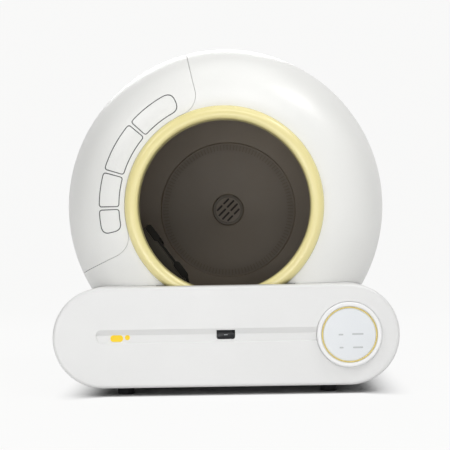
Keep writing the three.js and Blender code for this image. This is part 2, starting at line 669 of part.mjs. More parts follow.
// The drawer's pill-shaped front: a shell with a rounded edge, a finger groove, and holes for the fixed
// control pod and sensor, which the front slides over.
function drawer_front_shell() {
  const r = fascia.fillet;
  const geometry = new THREE.ExtrudeGeometry(pill(r), {
    depth: fascia.depth, bevelThickness: r, bevelSize: r, bevelSegments: 2, curveSegments: steps.arc,
  });
  const rounded = solid(geometry.rotateX(Math.PI / 2).translate(0, fascia.depth + r, 0));
  const keep = block(-base.width, base.width, -overrun, fascia.depth, 0, top_z + overrun);
  const hollow = along_y(pill(base.wall), fascia.front, fascia.depth + overrun);
  const shell = cut(rounded.intersect(keep), hollow);
  const collars = joined(
    rod(end_x, mid_z, pod_hole + fascia.collar, fascia.front - weld, fascia.depth, steps.pod),
    along_y(sensor_outline(sensor.clearance + fascia.collar), fascia.front - weld, fascia.depth, steps.corner),
  );
  const low = groove_z - groove.below;
  const high = groove_z + groove.above;
  const slot = rectangle(-groove.left, end_x, low, high, groove.below);
  const finger = along_y(slot, -overrun, fascia.depth, steps.cover);
  const slope = polygon([
    [-overrun, low - overrun], [groove.depth, low - overrun], [groove.depth, high - groove.slope], [0, high],
    [-overrun, high],
  ]);
  return cut(
    shell.add(collars),
    finger.intersect(along_x(slope, -groove.left - overrun, end_x)),
    rod(end_x, mid_z, pod_hole, -overrun, base.depth, steps.pod),
    along_y(sensor_outline(sensor.clearance), -overrun, fascia.depth + overrun, steps.corner),
  );
}

// The sensor's face: square at the top, rounded at the two lower corners.
function sensor_outline(grow) {
  const half = sensor.width / 2 + grow;
  const top = groove_z + sensor.above + grow;
  const bottom = groove_z - sensor.below - grow;
  const corner = sensor.corner + grow;
  const shape = new THREE.Shape();
  shape.moveTo(-half, top);
  shape.absarc(-half + corner, bottom + corner, corner, Math.PI, 1.5 * Math.PI);
  shape.absarc(half - corner, bottom + corner, corner, -Math.PI / 2, 0);
  shape.lineTo(half, top);
  return shape;
}

// The bin: an open box with rounded corners and a rim that the bag ring presses on.
function bin_box() {
  const front = fascia.front + gap;
  const { wall, corner, rim, rim_height } = bin;
  const outline = rectangle(bin_left + rim, bin_right - rim, front, bin_back - rim, corner);
  const outer = along_z(outline, bin_bottom, bin_top, steps.corner);
  const rim_outline = rectangle(bin_left, bin_right, front, bin_back, corner);
  const flange = along_z(rim_outline, bin_top - rim_height, bin_top, steps.corner);
  const side = rim + wall;
  const inner = rectangle(bin_left + side, bin_right - side, front + wall, bin_back - side, corner - wall);
  return cut(outer.add(flange), along_z(inner, bin_bottom + bin.floor, bin_top + overrun, steps.corner));
}

function bag_ring_frame() {
  const front = fascia.front + gap;
  const w = bag_ring.width;
  const shape = rectangle(bin_left, bin_right, front, bin_back, bin.corner);
  shape.holes.push(rectangle(bin_left + w, bin_right - w, front + w, bin_back - w, bin.corner - bin.wall));
  return along_z(shape, bin_top + gap, bin_top + gap + bag_ring.thickness, steps.corner);
}

// The control pod's white cup, fixed to the bulkhead, with a well for the ring light and touch plate.
function pod_cup() {
  const { radius, proud, round, bevel, well, lip } = pod;
  const edge = quarter(radius - round, round - proud, round, -round, steps.edge);
  return turned([
    [well_radius, bevel - proud], [well_radius + bevel, -proud], ...edge,
    [radius, bulkhead.front - gap], [radius - lip, bulkhead.front - gap],
    [radius - lip, well], [0, well], [0, well - lip], [well_radius, well - lip],
  ], steps.pod).translate([end_x, 0, mid_z]);
}

function light_solid() {
  const front = -pod.proud + light.sink;
  const outer = well_radius - gap;
  return turned([
    [outer - light.width, front], [outer, front], [outer, front + light.thickness],
    [outer - light.width, front + light.thickness],
  ], steps.pod).translate([end_x, 0, mid_z]);
}

function touch_disc() {
  const front = -pod.proud + touch.sink;
  const edge = well_radius - light.width - 2 * gap;
  const ledge = light.thickness + light.sink + gap - pod.proud;
  const well_floor = pod.well - pod.lip - gap;
  return turned([
    [0, front], [edge, front], [edge, ledge], [well_radius - gap, ledge], [well_radius - gap, well_floor],
    [0, well_floor],
  ], steps.pod).translate([end_x, 0, mid_z]);
}

function pod_board() {
  const y0 = pod.well + gap;
  return rod(end_x, mid_z, pod.radius - pod.lip - gap, y0, y0 + touch.board, steps.pod);
}

function foot_solid(x, y) {
  const top = foot.height - gap;
  const { radius, chamfer } = foot;
  return joined(
    stud(x, y, radius - chamfer, 0, chamfer, radius, steps.hub),
    stud(x, y, radius, chamfer, top, radius, steps.hub),
    stud(x, y, foot.neck, top - weld, floor_z + foot.neck_rise),
  );
}

function screw_solid(x, y) {
  const seat = deck_top + gap;
  const top = seat + screw.head_height;
  return cut(
    joined(stud(x, y, screw.shank, seat - screw.length, seat + weld), stud(x, y, screw.head, seat, top)),
    stud(x, y, screw.socket, top - screw.socket_depth, top + overrun, screw.socket, steps.hex),
  );
}

function motor_solid() {
  const y0 = drum_y.back + drum.recess + motor.plate_gap + motor.plate + gap;
  const y1 = y0 + motor.box_length;
  return cut(
    joined(
      rod(pinion_x, pinion_z, motor.box, y0, y1, steps.hub),
      rod(pinion_x, pinion_z, motor.can, y1 - weld, y1 + motor.can_length, steps.hub),
      rod(pinion_x, pinion_z, motor.boss, y0 - motor.plate, y0 + weld, steps.hub),
    ),
    rod(pinion_x, pinion_z, pinion.shaft + gap, y0 - overrun, y0 + motor.bore_depth),
  );
}

function shaft_solid() {
  const y0 = drum_y.back + drum.recess + motor.plate_gap + motor.plate;
  return rod(pinion_x, pinion_z, pinion.shaft, gear_y.front + pinion.hub_length, y0 + motor.bore_depth - gap);
}

function power_socket_body() {
  const back = base.depth - base.wall - gap;
  const front = back - socket.depth;
  const half = socket.width / 2;
  const rise = socket.height / 2;
  const shell = joined(
    block(socket_x - half, socket_x + half, front, back, socket_z - rise, socket_z + rise),
    rod(socket_x, socket_z, socket.hole - gap, back - weld, base.depth),
  );
  const hollow = rod(socket_x, socket_z, socket.barrel, front + base.wall, base.depth + overrun);
  const centre = rod(socket_x, socket_z, socket.pin, front + weld, front + base.wall + socket.pin_length);
  return cut(shell, hollow).add(centre);
}

add("base_pan", base_pan(), materials.white);
add("base_top", base_top(), materials.white);
add("drum_cradle", drum_cradle(), materials.grey);
add("housing_front", housing_front_shell(), materials.white);
add("housing_rear", housing_rear_shell(), materials.white);
add("side_cover", side_cover_shell(), materials.white);
add("entry_ring", ring_solid(), materials.yellow).position.z = axis_z;
add("entry_seal", seal_solid(), materials.rubber).position.z = axis_z;

for (const [side_name, side] of [["left", -1], ["right", 1]]) {
  for (const [row, y] of Object.entries(roller_rows)) {
    const wheel = add(`roller_${row}_${side_name}`, roller_solid(y), materials.grey);
    const pin_y = y - ear.gap - ear.thickness;
    const pin_length = roller_width + 2 * (ear.gap + ear.thickness);
    const pin_shape = rod(0, 0, roller.pin, pin_y, pin_y + pin_length);
    const pin = add(`axle_${row}_${side_name}`, pin_shape, materials.steel);
    for (const mesh of [wheel, pin]) mesh.position.set(side * roller_x, 0, roller_z);
  }
  for (const [row, y] of Object.entries(feet_y)) {
    add(`foot_${row}_${side_name}`, foot_solid(side * foot_x, y), materials.rubber);
  }
}
posts.forEach(([x, y], i) => add(`deck_screw_${i + 1}`, screw_solid(x, y), materials.steel));

add("gear_motor", motor_solid(), materials.steel);
add("pinion_shaft", shaft_solid(), materials.steel);
const pinion_pitch = (gear.module * pinion.teeth) / 2;
const pinion_radii = [pinion_pitch - gear.dedendum, pinion_pitch, pinion_pitch + gear.addendum];
const pinion_outline = gear_outline(pinion.teeth, pinion_radii);
const pinion_blank = along_y(pinion_outline, gear_y.front, gear_y.back);
const pinion_hub = rod(0, 0, pinion.hub, gear_y.back - weld, gear_y.back + pinion.hub_length);
const pinion_bore = rod(0, 0, pinion.shaft + gap, gear_y.front + pinion.hub_length - gap, base.depth);
const drive_pinion = add("drive_pinion", cut(pinion_blank.add(pinion_hub), pinion_bore), materials.grey);
drive_pinion.position.set(pinion_x, 0, pinion_z);
drive_pinion.rotation.y = -radians(90 + pinion.angle);

add("drum_front", drum_front_shell(), materials.smoke, turning);
add("drum_rear", drum_rear_shell(), materials.smoke, turning);
const gear_shape = gear_outline(gear.teeth, [root_radius, tip_radius]);
const gear_hole = rod(0, 0, drum_radius + gap, gear_y.front - overrun, base.depth, steps.drum);
const gear_turn = 90 - pinion.angle - 180 / gear.teeth;
const gear_band = along_y(gear_shape, gear_y.front, gear_y.back).rotate([0, gear_turn, 0]);
add("ring_gear", cut(gear_band, gear_hole), materials.grey, turning);
add("sifter_grid", sifter_sieve(), materials.smoke, turning);
add("pocket_wall", pocket_wall_plate(), materials.smoke, turning);
add("litter_liner", liner_sheet(), materials.liner, turning);
add("vent_cover", vent_disc(), materials.smoke, turning);
add("scent_cartridge", scent_puck(), materials.carbon, turning);

add("drawer_front", drawer_front_shell(), materials.white);
add("waste_bin", bin_box(), materials.bin);
add("bag_ring", bag_ring_frame(), materials.grey);
add("pod_bezel", pod_cup(), materials.white);
add("light_ring", light_solid(), materials.gold);
add("touch_plate", touch_disc(), materials.plate);
add("pod_board", pod_board(), materials.board);
const lens_front = groove.depth - sensor.sink;
const lens = along_y(sensor_outline(0), lens_front, fascia.depth, steps.corner);
add("sensor_window", lens, materials.dark);
const board_z = floor_z + board.stand + gap;
const board_back = board.front + board.length;
const board_top = board_z + board.thickness;
const control = block(board_x, board_x + board.width, board.front, board_back, board_z, board_top);
add("main_board", control, materials.board);
add("power_socket", power_socket_body(), materials.dark);

assembly.position.y = face_y;
const litter_box = new THREE.Group();
litter_box.add(assembly);

export default litter_box;
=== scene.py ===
# A self-cleaning litter box: a dark drum on its side in a round white housing with a pale yellow entry
# ring, over a pill-shaped base with a waste drawer. Shapes are drawn in millimetres, with y measured back
# from the drawer's front face, and each piece is brought into the frame, in metres, when it is finished.
from math import acos, asin, atan2, cos, degrees, hypot, pi, radians, sin, sqrt, tan
from types import SimpleNamespace as Sizes

import bmesh
import bpy
from mathutils import Matrix, Vector


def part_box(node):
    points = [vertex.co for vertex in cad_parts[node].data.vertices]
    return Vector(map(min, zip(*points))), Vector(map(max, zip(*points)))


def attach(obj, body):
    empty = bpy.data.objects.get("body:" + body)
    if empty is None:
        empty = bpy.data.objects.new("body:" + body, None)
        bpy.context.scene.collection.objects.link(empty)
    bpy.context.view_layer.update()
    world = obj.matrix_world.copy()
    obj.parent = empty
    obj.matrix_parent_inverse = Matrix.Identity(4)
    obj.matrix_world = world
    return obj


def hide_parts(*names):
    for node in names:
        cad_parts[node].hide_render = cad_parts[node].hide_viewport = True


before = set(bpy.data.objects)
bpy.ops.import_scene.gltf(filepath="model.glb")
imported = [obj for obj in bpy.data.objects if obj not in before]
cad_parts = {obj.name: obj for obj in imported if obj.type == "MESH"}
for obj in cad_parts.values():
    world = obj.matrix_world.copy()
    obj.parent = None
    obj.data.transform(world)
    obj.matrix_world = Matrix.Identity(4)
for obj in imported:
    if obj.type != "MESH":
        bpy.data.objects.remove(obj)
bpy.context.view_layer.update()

MM = 0.001
FACE_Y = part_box("drawer_front")[0].y / MM
INTO_FRAME = Matrix.Diagonal((MM, MM, MM, 1)) @ Matrix.Translation((0, FACE_Y, 0))

# The sizes that the finer shapes share with the solids. A tool overruns what it cuts, and joined bodies
# reach into each other by the weld.
gap = 0.3
overrun = 6
weld = 1
base = Sizes(width=520, height=151, depth=530, wall=3, step=60, floor=12, back_round=4)
fascia = Sizes(depth=24.7, front=7, fillet=5, collar=3)
groove = Sizes(depth=4, above=12, below=7.5, slope=8.5, lip=1.6, left=194.6)
pod = Sizes(radius=48.8, proud=7, clearance=1.2, line=0.45, round=3, bevel=1, ease=0.3, deep_ease=0.4,
            rim=6.8, lip=3, well=3.5, wire_hole=16)
light = Sizes(width=2.4, thickness=2.2, sink=0.5, line=1.2, rise=0.1)
touch = Sizes(sink=1, mark_half=1.2, mark_corner=1.15, mark_rise=0.1)
sensor = Sizes(width=26.8, above=8.9, below=3.9, corner=3, clearance=0.5, sink=0.6, edge=0.6)
dash = Sizes(half=2.6, low=1.6, high=2.6, corner=0.45, rise=0.08, root=0.1)
mark = Sizes(left=173, drop=1, length=19, half=5, corner=4.5, dot_from=25.5, dot_rise=1.2, dot_radius=3.8,
             rise=0.25, root=0.2)
waste = Sizes(behind=120, floor=2.5, wall=2.5, corner=18, side_gap=2.5, left_gap=19, rim=4, rim_height=4)
bag = Sizes(width=11, thickness=2.2, headroom=0.5)
runner = Sizes(width=6, height=2.7, inset=60, guide=3, guide_height=9)
post = Sizes(radius=6, outset=30.5, front=62, behind=58)
deck = Sizes(thickness=3, below_top=84)
board = Sizes(width=60, length=120, stand=8, stand_radius=3.5, front=70, inset=8)
drum = Sizes(wall=3, floor_gap=3, lip_gap=7, lip=140, lip_depth=14, shoulder=38, front_part=115, behind=80,
             recess=4, recess_radius=118, corner=6)
rail = Sizes(rise=3, width=12, front_inset=64, back_inset=65)
port = Sizes(start=199, end=223, front_inset=135, back_inset=90)
sifter = Sizes(distance=115.3, facing=216.2, lip=49, bead=11, bead_length=29, bead_corner=5, heel=23,
               flat=52, bend=20, lean=2.6, thickness=4, front_inset=42, back_inset=10, margin=7, slot=10,
               slot_corner=2, bar=8)
pocket = Sizes(thickness=3)
liner = Sizes(thickness=1.7, start=261, end=351)
tick = Sizes(count=120, inner=105, outer=114.5, half=0.9, rise=1.4, root=0.5)
vent = Sizes(radius=26, thickness=3, sink=3, face=22, step=2.2, slot=3.4, slot_corner=1.65, pitch=8.6,
             reach=20, bridge=3, tilt=45)
cartridge = Sizes(thickness=11, narrower=3, edge=1.2)
gear = Sizes(module=6, teeth=66, addendum=4.8, dedendum=6.6, rim=3.2)
housing = Sizes(wall=3, drum_space=44, dome_depth=110, rear_part=230, back_round=60)
ring = Sizes(outer=153, inner=132, proud=11, collar=3, collar_depth=26, seat=3, squareness=0.6)
cover = Sizes(start=103.5, end=204.1, corner=31, seam=0.6, line=0.4)
opening = Sizes(side_gap=12, front_gap=3, back_gap=10, curb=3, curb_height=5, bend=16, taper=55)
notch = Sizes(front_gap=3, side_gap=14)
grille = Sizes(slots=11, width=5, pitch=13, height=120, rise=40)
socket = Sizes(from_end=55, below_seam=35.5, width=15, height=12, depth=14, barrel=4, pin=1.2,
               pin_length=8, hole=5.5)
foot = Sizes(height=12, radius=12.5, neck=5, neck_rise=1.2, from_end=106, inset=50, chamfer=1.5)

# How finely the larger curves are divided: the housing's columns, and the sides of what is turned.
columns = Sizes(right=120, left=14, beside_cover=60, below=50, cover=84, rear=180)
sides = Sizes(drum=216, ring=256, pod=160, small=48)

# The blank frames on the side cover, by their first and last angles and the corners at each, and the four
# plain marks on the touch plate, by their places from its middle and their lengths.
print_line = Sizes(inner=161.5, outer=192.5, width=1.5, rise=0.08, root=0.3)
blank_frames = [(114.2, 137.3, 14, 4.5), (138.9, 162.2, 4.5, 4.5), (163.8, 179.8, 4.5, 4.5),
                (181.3, 192.6, 4.5, 12)]
plate_marks = [(-12.9, 0, 7), (12.2, 0.6, 17), (-12.4, -19.3, 6), (12.2, -19.3, 15)]

end_radius = base.height / 2
end_x = base.width / 2 - end_radius
mid_z = base.floor + end_radius
top_z = base.floor + base.height
floor_z = base.floor + base.wall
bulkhead = Sizes(front=fascia.depth + gap, back=fascia.depth + gap + base.wall)
pod_hole = pod.radius + pod.clearance
post_x = end_x + post.outset
bin_right = end_x - pod_hole - waste.side_gap
bin_left = -(post_x - post.radius - waste.left_gap)
bin_back = base.depth - waste.behind
deck_bottom = top_z - deck.below_top - deck.thickness
bin_bottom = floor_z + runner.height + gap
bin_top = deck_bottom - bag.headroom - bag.thickness - gap
pitch_radius = gear.module * gear.teeth / 2
tip_radius = pitch_radius + gear.addendum
drum_radius = pitch_radius - gear.dedendum - gear.rim - gap
drum_inside = drum_radius - drum.wall
rail_radius = drum_radius + rail.rise
axis_z = deck_bottom + deck.thickness + drum.floor_gap + tip_radius
housing_radius = tip_radius + housing.drum_space + housing.wall
drum_y = Sizes(front=base.step + housing.wall + drum.lip_gap, back=base.depth - drum.behind)
joint_y = drum_y.front + drum.front_part
rail_y, port_y, sifter_y = [
    Sizes(front=drum_y.front + part.front_inset, back=drum_y.back - part.back_inset)
    for part in (rail, port, sifter)
]
seam_y = base.depth - housing.rear_part
well_radius = pod.radius - pod.rim
drum_floor_y = drum_y.back + drum.recess - drum.wall


def linked(thing):
    """The object, put into the scene."""
    bpy.context.scene.collection.objects.link(thing)
    return thing


def having(thing, **settings):
    """The thing, with these settings of its own changed."""
    for name, value in settings.items():
        setattr(thing, name, value)
    return thing


# The camera

CAMERA = Sizes(place=(0.0446, -2.7564, 0.2302), yaw=-0.985, pitch=0.541, roll=-0.997, lens=133.55,
               sensor=36)


def make_camera():
    data = having(bpy.data.cameras.new("camera"), lens=CAMERA.lens, sensor_width=CAMERA.sensor)
    camera = linked(bpy.data.objects.new("camera", data))
    yaw, pitch, roll = (radians(v) for v in (CAMERA.yaw, CAMERA.pitch, CAMERA.roll))
    ahead = Vector((sin(yaw) * cos(pitch), cos(yaw) * cos(pitch), sin(pitch)))
    level = Vector((cos(yaw), -sin(yaw), 0))
    upright = level.cross(ahead)
    across = cos(roll) * level + sin(roll) * upright
    above = cos(roll) * upright - sin(roll) * level
    turn = Matrix((across, above, -ahead)).transposed().to_4x4()
    camera.matrix_world = Matrix.Translation(CAMERA.place) @ turn
    bpy.context.scene.camera = camera


make_camera()


# Outlines, as lists of points

def arc(x, y, radius, start, end, count):
    """Points on an arc, with angles in degrees."""
    turns = [radians(start + (end - start) * i / count) for i in range(count + 1)]
    return [(x + radius * cos(a), y + radius * sin(a)) for a in turns]


def disc(x, y, radius, count):
    return arc(x, y, radius, 0, 360, count)[:-1]


def pill(inset, count=56):
    """The base's outline in X and Z, drawn in by an inset."""
    radius = end_radius - inset
    return arc(end_x, mid_z, radius, -90, 90, count) + arc(-end_x, mid_z, radius, 90, 270, count)


def rounded_box(x0, x1, y0, y1, corner, count=12):
    corners = ((x1, y0, 1, -1, -90), (x1, y1, 1, 1, 0), (x0, y1, -1, 1, 90), (x0, y0, -1, -1, 180))
    return [
        point
        for x, y, right, up, start in corners
        for point in arc(x - right * corner, y - up * corner, corner, start, start + 90, count)
    ]


def softened(points, radius, count=4, most=0.45):
    """A closed outline with each corner rounded off, or left sharp where its radius is zero. A corner
    takes up no more than the greatest share of the lines beside it."""
    radii = radius if isinstance(radius, (list, tuple)) else [radius] * len(points)
    result = []
    for i, (corner, size) in enumerate(zip(points, radii)):
        here = Vector(corner)
        before = Vector(points[i - 1]) - here
        after = Vector(points[(i + 1) % len(points)]) - here
        size = min(size, before.length * most, after.length * most)
        if size < 1e-4:
            result.append(tuple(here))
            continue
        first, last = here + before.normalized() * size, here + after.normalized() * size
        for k in range(count + 1):
            t = k / count
            result.append(tuple(first * (1 - t) ** 2 + here * 2 * t * (1 - t) + last * t**2))
    return result


def quarter_turn(count):
    return [i / count * pi / 2 for i in range(count + 1)]


def edge_steps(count):
    """How far along and how far in a rounded edge has gone at each step, as shares of its radius."""
    return [(sin(a), 1 - cos(a)) for a in quarter_turn(count)]


def quarter(centre_radius, centre_y, across, along, count, square=1):
    """A quarter of an ellipse, or squarer, from straight ahead of its centre to its side."""
    return [(centre_radius + across * sin(a) ** square, centre_y + along * max(0, cos(a)) ** square)
            for a in quarter_turn(count)]


def band(inner, outer, front, back):
    return [(inner, front), (outer, front), (outer, back), (inner, back)]


def sector(outer, inner, start, end, count):
    """A slice of a ring round the drum's axis, between two angles."""
    return arc(0, axis_z, outer, start, end, count) + arc(0, axis_z, inner, end, start, count)


# Closed meshes, in millimetres

def mesh_object(points, faces):
    mesh = bpy.data.meshes.new("piece")
    mesh.from_pydata([tuple(p) for p in points], [], faces)
    return reworked(bpy.data.objects.new("piece", mesh), tidied)


def reworked(piece, change):
    """The piece, with its mesh changed by a function of the mesh's points, edges and faces."""
    work = bmesh.new()
    work.from_mesh(piece.data)
    change(work)
    work.to_mesh(piece.data)
    work.free()
    return piece


def tidied(work, merge=1e-4):
    """Merges equal points, drops empty faces and turns every face outwards."""
    bmesh.ops.remove_doubles(work, verts=work.verts, dist=merge)
    bmesh.ops.dissolve_degenerate(work, dist=merge, edges=work.edges)
    bmesh.ops.recalc_face_normals(work, faces=work.faces)


def level_joined(work, bend=radians(0.4)):
    """Joins up neighbouring faces that lie level with each other."""
    bmesh.ops.dissolve_limit(work, angle_limit=bend, verts=work.verts, edges=work.edges)


PLACES = {
    "x": lambda along, first, second: (along, first, second),
    "y": lambda along, first, second: (first, along, second),
    "z": lambda along, first, second: (first, second, along),
}


def loft(loops, axis="y"):
    """A closed body through loops of as many points, each given by its place on the axis and outline."""
    count = len(loops[0][1])
    points = [PLACES[axis](place, *point) for place, outline in loops for point in outline]
    faces = [tuple(range(count)), tuple(range(len(points) - count, len(points)))]
    for row in range(len(loops) - 1):
        for i in range(count):
            a, b = row * count + i, row * count + (i + 1) % count
            faces.append((a, b, b + count, a + count))
    return mesh_object(points, faces)


def prism(outline, start, end, axis="y"):
    return loft([(start, outline), (end, outline)], axis)


def block(x0, x1, y0, y1, z0, z1):
    return prism(band(x0, x1, z0, z1), y0, y1)


def rod(x, z, radius, y0, y1, count=96):
    return prism(disc(x, z, radius, count), y0, y1)


def stud(x, y, radius, z0, z1):
    return prism(disc(x, y, radius, sides.small), z0, z1, "z")


def in_drum_space(y0, y1):
    """A plug that fills the drum, but for a gap all round."""
    return rod(0, axis_z, drum_inside - gap, y0, y1, sides.drum)


def hoop(sections):
    """A closed body through a ring of sections of as many points."""
    count = len(sections[0])
    points = [point for section in sections for point in section]
    faces = []
    for side in range(len(sections)):
        for i in range(count):
            a, b = side * count + i, side * count + (i + 1) % count
            faces.append((a, b, (b + count) % len(points), (a + count) % len(points)))
    return mesh_object(points, faces)


def turned(profile, x=0, z=axis_z, count=sides.drum):
    """A closed profile of radius and y, turned about a line along Y."""
    turns = [2 * pi * side / count for side in range(count)]
    return hoop([[(x + r * cos(a), y, z + r * sin(a)) for r, y in profile] for a in turns])


def turned_up(profile, x, y):
    """A closed profile of radius and z, turned about an upright line."""
    piece = turned(profile, 0, 0, 64)
    piece.data.transform(Matrix.Translation((x, y, 0)) @ Matrix.Rotation(pi / 2, 4, "X"))
    return piece


def turned_in_pod(profile):
    return turned(profile, end_x, mid_z, sides.pod)


def round_axis(piece, angle):
    """The piece turned about Y and moved up to the drum's axis."""
    piece.data.transform(Matrix.Translation((0, 0, axis_z)) @ Matrix.Rotation(-angle, 4, "Y"))
    return piece


def applied(piece):
    """The piece with its modifiers made part of its mesh."""
    shown = linked(piece).evaluated_get(bpy.context.evaluated_depsgraph_get())
    mesh = bpy.data.meshes.new_from_object(shown)
    piece.modifiers.clear()
    piece.data = mesh
    bpy.context.scene.collection.objects.unlink(piece)
    return piece


def worked(whole, tools, operation):
    for tool in tools:
        modifier = whole.modifiers.new("work", "BOOLEAN")
        having(modifier, operation=operation, object=linked(tool), solver="MANIFOLD")
    applied(whole)
    for tool in tools:
        bpy.data.objects.remove(tool)
    return whole


def cut(whole, *tools):
    return worked(whole, tools, "DIFFERENCE")


def joined(whole, *tools):
    return worked(whole, tools, "UNION")


def kept(whole, tool):
    return worked(whole, [tool], "INTERSECT")


def merged(pieces):
    """Several separate bodies as one object."""
    work = bmesh.new()
    for piece in pieces:
        work.from_mesh(piece.data)
        bpy.data.objects.remove(piece)
    mesh = bpy.data.meshes.new("pieces")
    work.to_mesh(mesh)
    work.free()
    return bpy.data.objects.new("pieces", mesh)


def placed(name, piece, body, finish, nodes=(), edge=0.0, flat=False, crease=32, segments=2):
    """Brings a piece into the frame and sets its edges, finish, body and the solids that it stands for.
    A flat one has its level faces joined up and shaded level."""
    if flat:
        reworked(piece, level_joined)
    piece.name = name
    piece.data.name = name
    piece.data.transform(INTO_FRAME)
    piece.data.shade_smooth()
    piece.data.set_sharp_from_angle(angle=radians(crease))
    if edge:
        having(piece.modifiers.new("edges", "BEVEL"), limit_method="ANGLE", angle_limit=radians(crease),
               width=edge * MM, segments=segments, harden_normals=True, miter_outer="MITER_ARC")
    if flat:
        having(piece.modifiers.new("flat_faces", "WEIGHTED_NORMAL"), keep_sharp=True, weight=100)
    covered(linked(piece), finish)
    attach(piece, body)
    if nodes:
        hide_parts(*nodes)


def covered(piece, finish):
    piece.data.materials.clear()
    piece.data.materials.append(finish)


# Finishes

class Socket:
    """A shader value: Python's operators on it add Math nodes."""

    def __init__(self, tree, link):
        self.tree = tree
        self.link = link

    def __add__(self, other):
        return self.tree.math_of("ADD", self, other)

    __radd__ = __add__

    def __sub__(self, other):
        return self.tree.math_of("SUBTRACT", self, other)

    def __rsub__(self, other):
        return self.tree.math_of("SUBTRACT", other, self)

    def __mul__(self, other):
        return self.tree.math_of("MULTIPLY", self, other)

    __rmul__ = __mul__


class Nodes:
    """A node tree, with one method that adds any node."""

    def __init__(self, tree):
        self.tree = tree
        tree.nodes.clear()

    def node(self, kind, settings=None, values=None, output=0):
        node = having(self.tree.nodes.new(kind), **(settings or {}))
        for key, value in (values or {}).items():
            if isinstance(value, Socket):
                self.tree.links.new(value.link, node.inputs[key])
            else:
                node.inputs[key].default_value = value
        return Socket(self, node.outputs[output]) if len(node.outputs) else node

    def place(self):
        return self.node("ShaderNodeTexCoord", output="Object")

    def noise(self, scale, detail=2, roughness=0.5, stretch=None):
        where = self.place()
        if stretch:
            where = self.node("ShaderNodeMapping", None, {"Vector": where, "Scale": stretch})
        values = {"Vector": where, "Scale": scale, "Detail": detail, "Roughness": roughness}
        return self.node("ShaderNodeTexNoise", None, values)

    def ranged(self, value, low, high, to_low=0, to_high=1):
        values = {"Value": value, "From Min": low, "From Max": high, "To Min": to_low, "To Max": to_high}
        return self.node("ShaderNodeMapRange", None, values)

    def math_of(self, operation, first, second):
        return self.node("ShaderNodeMath", {"operation": operation}, {0: first, 1: second})

    def mixed(self, share, first, second):
        """Two colours mixed by a share."""
        return self.node("ShaderNodeMix", {"data_type": "RGBA"}, {0: share, 6: first, 7: second}, output=2)

    def shown(self, share, first, second):
        """Two shaders mixed by a share."""
        return self.node("ShaderNodeMixShader", None, {0: share, 1: first, 2: second})

    def within(self, radius, full=0.97):
        """Zero outside this radius round the drum's axis, and one inside a full share of it."""
        across, up = [self.node("ShaderNodeSeparateXYZ", None, {0: self.place()}, way) for way in "XZ"]
        up -= axis_z * MM
        edge = radius * MM
        return self.ranged(across * across + up * up, edge**2, (edge * full) ** 2)

    def ray(self, *kinds):
        """One for the rays of these kinds, and zero for the rest."""
        return sum(self.node("ShaderNodeLightPath", output=f"Is {kind} Ray") for kind in kinds)


class Finish(Nodes):
    """A material of one plastic or metal surface."""

    def __init__(self, name, **constants):
        self.material = bpy.data.materials.new(name)
        self.material.use_nodes = True
        super().__init__(self.material.node_tree)
        self.surface = self.node("ShaderNodeBsdfPrincipled")
        self.shader = self.surface.link.node
        for socket_name, value in constants.items():
            self.shader.inputs[socket_name.replace("_", " ")].default_value = value
        self.output = self.node("ShaderNodeOutputMaterial", None, {0: self.surface})

    def feed(self, socket_name, value):
        self.tree.links.new(value.link, self.shader.inputs[socket_name])

    def ends_in(self, shader):
        self.tree.links.new(shader.link, self.output.inputs[0])

    def bumped(self, height, distance):
        self.feed("Normal", self.node("ShaderNodeBump", None, {"Height": height, "Distance": distance}))


def colour(*channels):
    """A colour given as it looks on screen, from 0 to 255, in linear light."""
    shares = [v / 255 for v in channels]
    return (*[v / 12.92 if v <= 0.04045 else ((v + 0.055) / 1.055) ** 2.4 for v in shares], 1)


def moulded(name, pale, shade, roughness, grain=1500, depth=0.00002, inside=None, **constants):
    """Moulded plastic: a faint drift in tone, uneven gloss and the fine grain of the tool. It can have
    another tone inside a radius round the drum's axis, which paints shade on one side of that radius."""
    finish = Finish(name, **constants)
    drift = finish.ranged(finish.noise(scale=5, detail=3), 0.35, 0.65)
    specks = finish.ranged(finish.noise(scale=260), 0.45, 0.75, to_high=0.35)
    tone = finish.mixed(drift * 0.8 + specks * 0.4, colour(*pale), colour(*shade))
    # Painted shade: another tone inside a radius round the drum's axis.
    if inside:
        radius, share, inner_tone = inside
        tone = finish.mixed(finish.within(radius) * share, tone, colour(*inner_tone))
    finish.feed("Base Color", tone)
    gloss = finish.noise(scale=38)
    finish.feed("Roughness", finish.ranged(gloss, 0.2, 0.8, roughness - 0.02, roughness + 0.03))
    finish.bumped(finish.noise(grain), depth)
    return finish.material


def metal(name, pale, shade, roughness, stretch):
    """Drawn or turned metal with fine marks along one way."""
    finish = Finish(name, Metallic=1.0)
    marks = finish.noise(scale=700, detail=3, roughness=0.6, stretch=stretch)
    streaks = finish.ranged(marks, 0.3, 0.7)
    finish.feed("Base Color", finish.mixed(streaks, colour(*pale), colour(*shade)))
    finish.feed("Roughness", finish.ranged(marks, 0.3, 0.7, roughness - 0.06, roughness + 0.1))
    finish.bumped(marks, 0.00001)
    return finish.material


